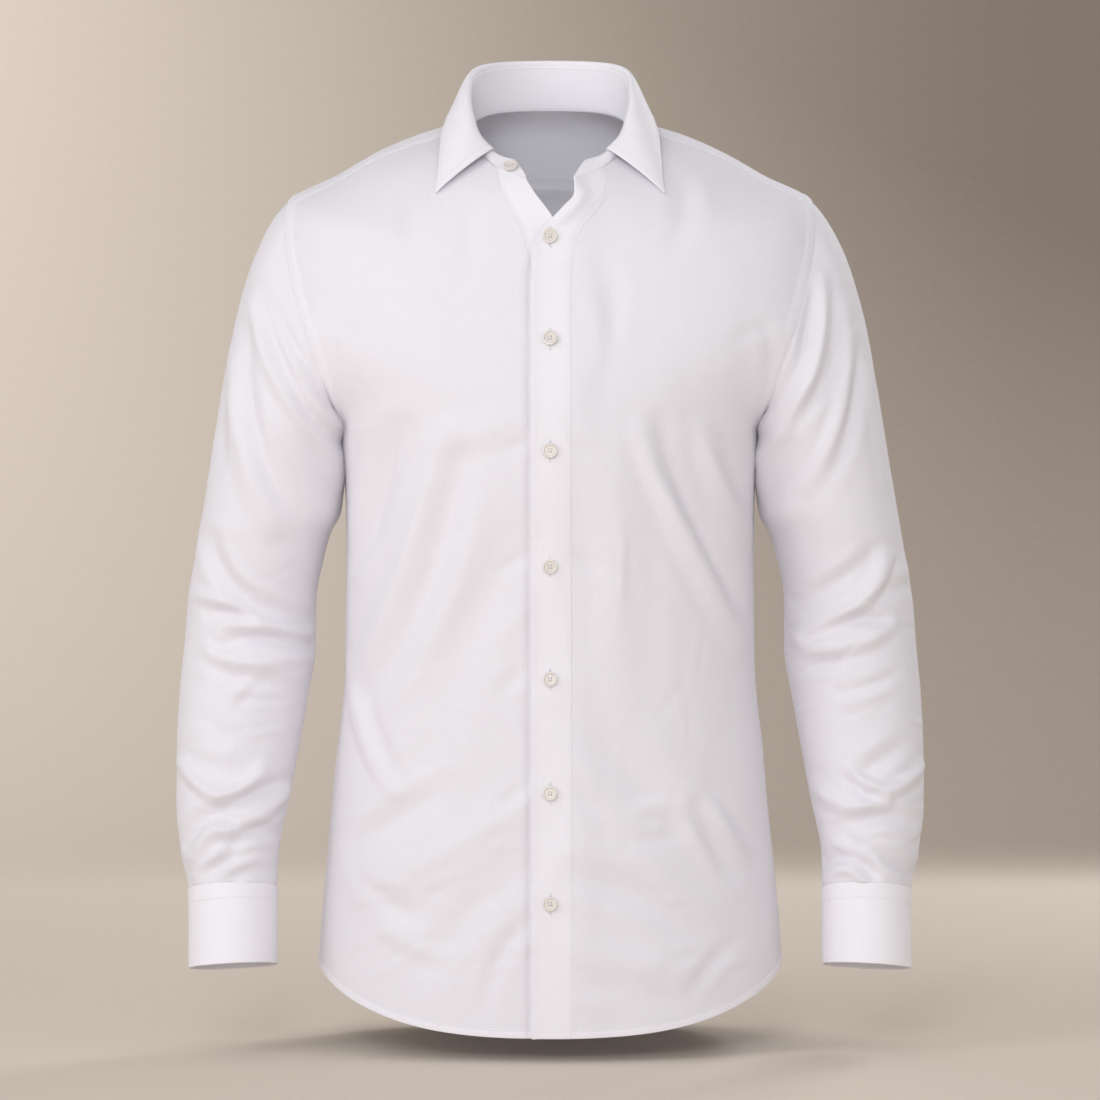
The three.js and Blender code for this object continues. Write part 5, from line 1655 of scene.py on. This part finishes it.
for node in ("front_right", "front_left", "back"):
    sheet = sheets[node][1]
    for edge in ("left", "right") if node == "back" else ("right",):
        for form, above in (("armhole", True), ("side", False)):
            points, normals = lineAt(sheet, edgeSteps["armhole"], doubled[form]["stitch"], edge)
            rise = (points[:, 2] - seams["armpitLevel"]) * (1 if above else -1)
            addStitches(points, normals, rise > underArm)
    points, normals = lineAt(sheet, edgeSteps["hem"], doubled["hem"]["stitch"], "bottom")
    addStitches(points, normals)
    if node != "back":
        points, normals = lineAt(sheet, edgeSteps["placket"], doubled["placket"]["stitch"], "left")
        addStitches(points, normals)

yoke = sheets["yoke"][1]
yokeStitches = {"close": 1.5, "seamBack": 40, "seamHalf": 208}
rowPair = (yokeStitches["close"], doubled["shoulder"]["stitch"])
for edge in ("left", "right"):
    for distance in rowPair:
        addStitches(*lineAt(yoke, edgeSteps["shoulder"], distance, edge))
for distance in (*rowPair, doubled["armhole"]["stitch"]):
    points, normals = lineAt(yoke, edgeSteps["armhole"], distance, "top")
    wide = np.abs(points[:, 0])
    onSeam = (points[:, 1] > yokeStitches["seamBack"]) & (wide < yokeStitches["seamHalf"])
    if distance in rowPair:
        addStitches(points, normals, onSeam)
    else:
        for side in (-1, 1):
            addStitches(points, normals, ~onSeam & (points[:, 0] * side > 0))

for hand in ("right", "left"):
    cuffGrid = sheets[f"cuff_{hand}"][1]
    addStitches(*lineAt(cuffGrid, edgeSteps["cuff"], doubled["cuffTop"]["stitch"], "bottom"))
    strip = sheets[f"placket_{hand}"][1]
    for column in (1, -2):
        addStitches(strip.outer[:, column], strip.normal[:, column])
    addStitches(strip.outer[-3], strip.normal[-3])

# The leaf is stitched near its edges on the side that shows, and the band along its foot and top
leafGrid = sheets["collar_leaf"][1]
shown, shownWay = leafGrid.inner, -leafGrid.normal
reach = edgeDistances(shown)
collarStitch = 6.0
leafFootRows = 8      # the rows down the tips start past the leaf's roll
points, normals = lineFromEdge(shown, shownWay, reach.top, collarStitch)
insideTips = np.full(len(points), True)
for tipReach in (reach.left, reach.right):
    insideTips &= np.array([
        np.interp(collarStitch, reach.top[::-1, column], tipReach[::-1, column]) > collarStitch
        for column in range(shown.shape[1])
    ])
addStitches(points, normals, insideTips)
turnedGrid, turnedWay = np.swapaxes(shown, 0, 1), np.swapaxes(shownWay, 0, 1)
for distances in (reach.left, reach.right):
    points, normals = lineFromEdge(turnedGrid, turnedWay, distances.T, collarStitch)
    fromTip = reach.top[:, 0] if distances is reach.left else reach.top[:, -1]
    addStitches(points, normals, (fromTip > collarStitch) & (np.arange(len(points)) > leafFootRows))
bandGrid = sheets["collar_band"][1]
for row in (1, 2, -2):
    addStitches(bandGrid.inner[row], -bandGrid.normal[row])
    addStitches(bandGrid.outer[row], bandGrid.normal[row])
seamStitches = joined("seamStitches", stitchParts, sewingThread)
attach(seamStitches, "root")

# Buttonholes: a row of short bars of thread on each side of a slit, closed by a bar at each end
buttonhole = {
    "length": 16.5,
    "bar": 0.9,
    "pitch": 0.5,
    "half": 0.26,
    "gap": 0.2,
    "proud": 0.1,
    "endBar": 2.1,
    "endReach": 0.4,
    "seatHigh": 14,          # how much of the placket round it sets how it lies
    "seatHalf": 9,
}


def buttonholeParts(sheet, level, middleX):
    column = np.abs(sheet.outer[:, :, 0] - middleX) + np.abs(sheet.outer[:, :, 2] - level)
    row, place = np.unravel_index(np.argmin(column), column.shape)
    normal = sheet.normal[row, place]
    heights = np.arange(-buttonhole["length"] / 2, buttonhole["length"] / 2 + 0.01, buttonhole["pitch"])
    flat = sheet.outer.reshape(-1, 3)
    near = flat[np.abs(flat[:, 2] - level) < buttonhole["seatHigh"]]
    near = near[np.abs(near[:, 0] - middleX) < buttonhole["seatHalf"]]
    terms = np.c_[np.ones(len(near)), near[:, 0], near[:, 2], near[:, 2] ** 2]
    fit = np.linalg.lstsq(terms, near[:, 1], rcond=None)[0]

    def onCloth(x, z):
        y = fit[0] + fit[1] * x + fit[2] * z + fit[3] * z * z
        return np.stack([x, y, z], axis=-1) + normal * buttonhole["proud"]

    def bars(x, z, length):
        places = onCloth(np.full(z.shape, x), z)
        ways = np.tile([1.0, 0, 0], (len(places), 1))
        normals = np.tile(normal, (len(places), 1))
        return grains(places, ways, normals, length, buttonhole["half"])

    across = (buttonhole["gap"] + buttonhole["bar"]) / 2
    ends = np.array([-0.5, -0.25, 0, 0.25, 0.5])
    endAway = buttonhole["length"] / 2 + buttonhole["endReach"]
    parts = [bars(middleX + side * across, level + heights, buttonhole["bar"]) for side in (-1, 1)]
    parts += [bars(middleX, level + end * endAway + ends, buttonhole["endBar"]) for end in (-1, 1)]
    return parts


holeParts = []
for height in frontButtonHeights:
    holeParts += buttonholeParts(sheets["front_left"][1], height, 0.0)
buttonholes = joined("buttonholes", holeParts, sewingThread)
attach(buttonholes, "root")

print("buttons")
button = {
    "radius": 0.0059,
    "depth": 0.0024,
    "rim": 0.0012,
    "slope": 0.0008,
    "dish": 0.0007,
    "edge": 0.00035,
    "holeReach": 0.0015,
    "holeRadius": 0.00064,
    "corners": 44,
    "holeCorners": 14,
    "holeDepth": 0.008,
    "rimShare": 0.96,
    "smoothAngle": 34,
    "threadRadius": 0.00036,
    "threadReach": 2.2,
    "threadRise": 0.7,
    "threadRound": 0.4,
    "spin": 7,
}


def chooseOnly(piece):
    bpy.ops.object.select_all(action="DESELECT")
    piece.select_set(True)
    bpy.context.view_layer.objects.active = piece


# Selects the faces or edges of the piece in edit mode that a test on their middle passes
def chooseParts(piece, kind, test):
    bpy.ops.mesh.select_mode(type="EDGE" if kind == "edges" else "FACE")
    bpy.ops.mesh.select_all(action="DESELECT")
    form = bmesh.from_edit_mesh(piece.data)
    for part in getattr(form, kind):
        middle = sum((corner.co for corner in part.verts), Vector()) / len(part.verts)
        if test(middle, part):
            part.select_set(True)
    bmesh.update_edit_mesh(piece.data)


def makeButton():
    bpy.ops.object.select_all(action="DESELECT")
    bpy.ops.mesh.primitive_cylinder_add(
        vertices=button["corners"], radius=button["radius"], depth=button["depth"])
    disc = bpy.context.object
    half = button["depth"] / 2
    bpy.ops.object.mode_set(mode="EDIT")
    chooseParts(disc, "faces", lambda middle, _: middle.z > half * 0.9)
    bpy.ops.mesh.inset(thickness=button["rim"], depth=0)
    bpy.ops.mesh.inset(thickness=button["slope"], depth=-button["dish"])
    ringRadius = button["radius"] * button["rimShare"]
    chooseParts(disc, "edges", lambda middle, _: (
        abs(middle.z) > half * 0.9 and middle.xy.length > ringRadius))
    bpy.ops.mesh.bevel(offset=button["edge"], segments=3)
    bpy.ops.object.mode_set(mode="OBJECT")
    for corner in range(4):
        turn = (corner + 0.5) * math.pi / 2
        place = (button["holeReach"] * math.cos(turn), button["holeReach"] * math.sin(turn), 0)
        bpy.ops.mesh.primitive_cylinder_add(
            vertices=button["holeCorners"], radius=button["holeRadius"],
            depth=button["holeDepth"], location=place,
        )
        drill = bpy.context.object
        chooseOnly(disc)
        cut = disc.modifiers.new("hole", "BOOLEAN")
        cut.object = drill
        cut.operation = "DIFFERENCE"
        cut.solver = "EXACT"
        bpy.ops.object.modifier_apply(modifier=cut.name)
        bpy.data.objects.remove(drill)
    chooseOnly(disc)
    bpy.ops.object.shade_smooth_by_angle(angle=math.radians(button["smoothAngle"]))
    return disc


# Thread through the four holes, as two crossing strands
def makeCross():
    strands = []
    floor = button["depth"] / 2 - button["dish"]
    for turn in (math.pi / 4, -math.pi / 4):
        bpy.ops.object.select_all(action="DESELECT")
        bpy.ops.mesh.primitive_cylinder_add(
            vertices=8, radius=button["threadRadius"], depth=button["holeReach"] * button["threadReach"],
            location=(0, 0, floor + button["threadRadius"] * button["threadRise"]),
            rotation=(math.pi / 2, 0, turn),
        )
        strands.append(bpy.context.object)
    bpy.ops.object.select_all(action="DESELECT")
    for strand in strands:
        strand.select_set(True)
    bpy.context.view_layer.objects.active = strands[0]
    bpy.ops.object.join()
    cross = bpy.context.object
    bpy.ops.object.transform_apply(location=True, rotation=True, scale=True)
    bpy.ops.object.mode_set(mode="EDIT")
    chooseParts(cross, "edges", lambda _, part: all(len(face.verts) > 4 for face in part.link_faces[:1]))
    bpy.ops.mesh.bevel(offset=button["threadRadius"] * button["threadRound"], segments=2)
    bpy.ops.object.mode_set(mode="OBJECT")
    bpy.ops.object.shade_smooth()
    return cross


# Out to the front, or off the arm's middle line where the button is on a cuff
def outwardAt(middle, onCuff):
    if not onCuff:
        return np.array([0, -1, 0])
    sides = tubePoint(np.array([0.0, 180.0]), np.full(2, float(cuff["buttonLevel"])))
    axis = mirrored(sides, np.sign(middle[0])).mean(axis=0)
    return middle - axis * mm


# Middle and facing of the frame's own button
def buttonSeat(node):
    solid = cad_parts[node]
    corners = np.array([solid.matrix_world @ corner.co for corner in solid.data.vertices])
    middle = (corners.max(axis=0) + corners.min(axis=0)) / 2
    facing = np.linalg.svd(corners - corners.mean(axis=0), full_matrices=False)[2][-1]
    isOut = np.dot(facing, outwardAt(middle, "cuff" in node)) > 0
    return Vector(middle), Vector(facing if isOut else -facing)


def placedCopy(pattern, name, matrix):
    piece = bpy.data.objects.new(name, pattern.data.copy())
    piece.data.transform(matrix)
    bpy.context.scene.collection.objects.link(piece)
    return piece


buttonPattern = makeButton()
crossPattern = makeCross()
buttonNodes = [f"button_front_{number}" for number in range(1, 8)]
buttonNodes += ["button_collar", "button_cuff_right", "button_cuff_left"]
for index, node in enumerate(buttonNodes):
    middle, facing = buttonSeat(node)
    spin = Matrix.Rotation(math.radians(button["spin"] * math.sin(index * 2.3)), 4, "Z")
    matrix = Matrix.Translation(middle) @ facing.to_track_quat("Z", "Y").to_matrix().to_4x4() @ spin
    words = node.split("_")
    label = words[0] + "".join(word.capitalize() for word in words[1:])
    for pattern, suffix, material, part in (
        (buttonPattern, "", shellButton, "button"), (crossPattern, "Thread", sewingThread, "cotton"),
    ):
        copy = placedCopy(pattern, label + suffix, matrix)
        copy.data.materials.clear()
        copy.data.materials.append(material)
        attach(copy, "root")
        if not suffix:
            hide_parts(node)
bpy.data.objects.remove(buttonPattern)
bpy.data.objects.remove(crossPattern)

print("stage and camera")
view = {"distance": 3.2, "height": -0.349, "sensor": 36, "framed": 0.913}


def addCamera():
    lens = view["sensor"] * view["distance"] / view["framed"]
    place = (0, -view["distance"], view["height"])
    bpy.ops.object.camera_add(location=place, rotation=(math.pi / 2, 0, 0))
    camera = bpy.context.object
    camera.data.sensor_width = view["sensor"]
    camera.data.lens = lens
    camera.data.clip_end = 30
    bpy.context.scene.camera = camera


stage = {
    "floorLevel": -0.757,
    "width": 9,
    "front": -4.4,
    "back": 3.9,
    "bend": 2.2,
    "tall": 5,
    "steps": 32,
    # The paper's colour where painted light falls, and the colour of its painted shade
    "pale": (0.76, 0.674, 0.586, 1),
    "dim": (0.345, 0.289, 0.246, 1),
    "fadeLeft": -1.05,       # painted shade, light on the left and darker to the right
    "fadeRight": 1.1,
    "floorStart": 1.4,       # and painted light on the floor, painted shade up the wall
    "floorEnd": 2.0,
    "floorShare": 0.92,
    "wallDim": 0.12,
}


def addStage():
    profile = [(stage["front"], stage["floorLevel"])]
    for step in range(stage["steps"] + 1):
        turn = math.pi / 2 * step / stage["steps"]
        profile.append((stage["back"] - stage["bend"] + stage["bend"] * math.sin(turn),
                        stage["floorLevel"] + stage["bend"] * (1 - math.cos(turn))))
    profile.append((stage["back"], stage["floorLevel"] + stage["tall"]))
    half = stage["width"] / 2
    points = [(side * half, y, z) for y, z in profile for side in (-1, 1)]
    faces = [(2 * i, 2 * i + 1, 2 * i + 3, 2 * i + 2) for i in range(len(profile) - 1)]
    mesh = bpy.data.meshes.new("sweep")
    mesh.from_pydata(points, [], faces)
    mesh.shade_smooth()
    sweep = bpy.data.objects.new("sweep", mesh)
    bpy.context.scene.collection.objects.link(sweep)
    paper = bpy.data.materials.new("sweepPaper")
    paper.use_nodes = True
    shader = paper.node_tree.nodes["Principled BSDF"]
    tree = paper.node_tree
    place = addNode(tree, "ShaderNodeTexCoord")
    split = addNode(tree, "ShaderNodeSeparateXYZ")
    tree.links.new(place.outputs["Object"], split.inputs[0])
    # Painted light and shade on the paper: lighter to the left and on the floor, darker to the right and up
    # the wall
    fade = addNode(tree, "ShaderNodeMapRange", {"interpolation_type": "SMOOTHSTEP"},
                   {1: stage["fadeLeft"], 2: stage["fadeRight"], 3: stage["wallDim"], 4: 1})
    tree.links.new(split.outputs["X"], fade.inputs[0])
    rise = addNode(tree, "ShaderNodeMapRange", {"interpolation_type": "SMOOTHSTEP"}, {
        1: stage["floorStart"], 2: stage["floorEnd"], 3: 1 - stage["floorShare"], 4: 1,
    })
    tree.links.new(split.outputs["Y"], rise.inputs[0])
    dimness = addNode(tree, "ShaderNodeMath", {"operation": "MULTIPLY"})
    tree.links.new(fade.outputs[0], dimness.inputs[0])
    tree.links.new(rise.outputs[0], dimness.inputs[1])
    grain = addNode(tree, "ShaderNodeTexNoise", None, {"Scale": 90, "Detail": 4})
    tree.links.new(place.outputs["Object"], grain.inputs["Vector"])
    flecked = addNode(tree, "ShaderNodeMath", {"operation": "MULTIPLY_ADD"}, {1: 0.08})
    tree.links.new(grain.outputs[0], flecked.inputs[0])
    tree.links.new(dimness.outputs[0], flecked.inputs[2])
    tone = addNode(tree, "ShaderNodeMix", {"data_type": "RGBA"})
    tone.inputs[6].default_value = stage["pale"]
    tone.inputs[7].default_value = stage["dim"]
    tree.links.new(flecked.outputs[0], tone.inputs[0])
    tree.links.new(tone.outputs[2], shader.inputs["Base Color"])
    shader.inputs["Roughness"].default_value = 0.95
    shader.inputs["Specular IOR Level"].default_value = 0.1
    # The paper lets a view from behind through.
    geometry = addNode(tree, "ShaderNodeNewGeometry")
    clear = addNode(tree, "ShaderNodeBsdfTransparent")
    oneSided = addNode(tree, "ShaderNodeMixShader")
    tree.links.new(geometry.outputs["Backfacing"], oneSided.inputs[0])
    tree.links.new(shader.outputs[0], oneSided.inputs[1])
    tree.links.new(clear.outputs[0], oneSided.inputs[2])
    tree.links.new(oneSided.outputs[0], tree.nodes["Material Output"].inputs["Surface"])
    mesh.materials.append(paper)


# Soft studio lights: place and size in metres, power in watts, and what they aim at. The last is
# a weak fill in the hollow, for the light that comes through the cloth.
shirtMiddle = (0, 0, -0.36)
lights = {
    "frontLight": {"place": (-0.5, -3.6, 0.9), "size": (1.1, 0.9), "power": 31, "aim": shirtMiddle},
    "leftLight": {"place": (-2.5, -1.6, 0.4), "size": (1.6, 2.0), "power": 19, "aim": shirtMiddle},
    "rightLight": {"place": (2.5, -2.0, 0.2), "size": (1.6, 2.0), "power": 8.5, "aim": shirtMiddle},
    "topLight": {"place": (-0.4, -1.5, 1.7), "size": (1.2, 0.8), "power": 2, "aim": (0, 0.05, -0.1)},
    "highLeftLight": {"place": (-1.8, -1.3, 1.9), "size": (0.8, 0.8), "power": 6, "aim": (0, 0.3, -0.757)},
    "lowLight": {"place": (0, -3.3, -0.5), "size": (2.4, 0.6), "power": 4, "aim": shirtMiddle, "spread": 100},
    "wallLight": {"place": (-2.3, 2.3, 1.6), "size": (0.7, 0.7), "power": 26, "aim": (-1.3, 3.9, 0.6)},
    "backLight": {"place": (1.6, 2.3, 1.2), "size": (1.0, 0.9), "power": 28, "aim": (0, 0.1, -0.4)},
    "hollowFill": {"place": (0, -0.02, -0.17), "size": (0.08, 0.08), "power": 0.035, "aim": (0, 0.09, -0.03)},
}
studio = {"light": (0.97, 0.975, 1.0), "air": (1.0, 0.985, 0.97, 1), "airStrength": 0.46}


def addLight(name, light):
    bpy.ops.object.light_add(type="AREA", location=light["place"])
    lamp = bpy.context.object
    lamp.name = name
    lamp.data.shape = "RECTANGLE"
    lamp.data.size, lamp.data.size_y = light["size"]
    lamp.data.energy = light["power"]
    lamp.data.color = studio["light"]
    lamp.data.spread = math.radians(light.get("spread", 180))
    lamp.visible_camera = False
    aim = Vector(light["aim"]) - Vector(light["place"])
    lamp.rotation_euler = aim.to_track_quat("-Z", "Y").to_euler()


addCamera()
addStage()
for name, light in lights.items():
    addLight(name, light)
world = bpy.data.worlds.new("studio")
world.use_nodes = True
world.node_tree.nodes["Background"].inputs[0].default_value = studio["air"]
world.node_tree.nodes["Background"].inputs[1].default_value = studio["airStrength"]
bpy.context.scene.world = world
bpy.context.scene.view_settings.view_transform = "Standard"

# Each cloth piece is attached to the root, and the solid it stands for is hidden
for node, piece in pieces.items():
    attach(piece, "root")
    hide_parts(node)
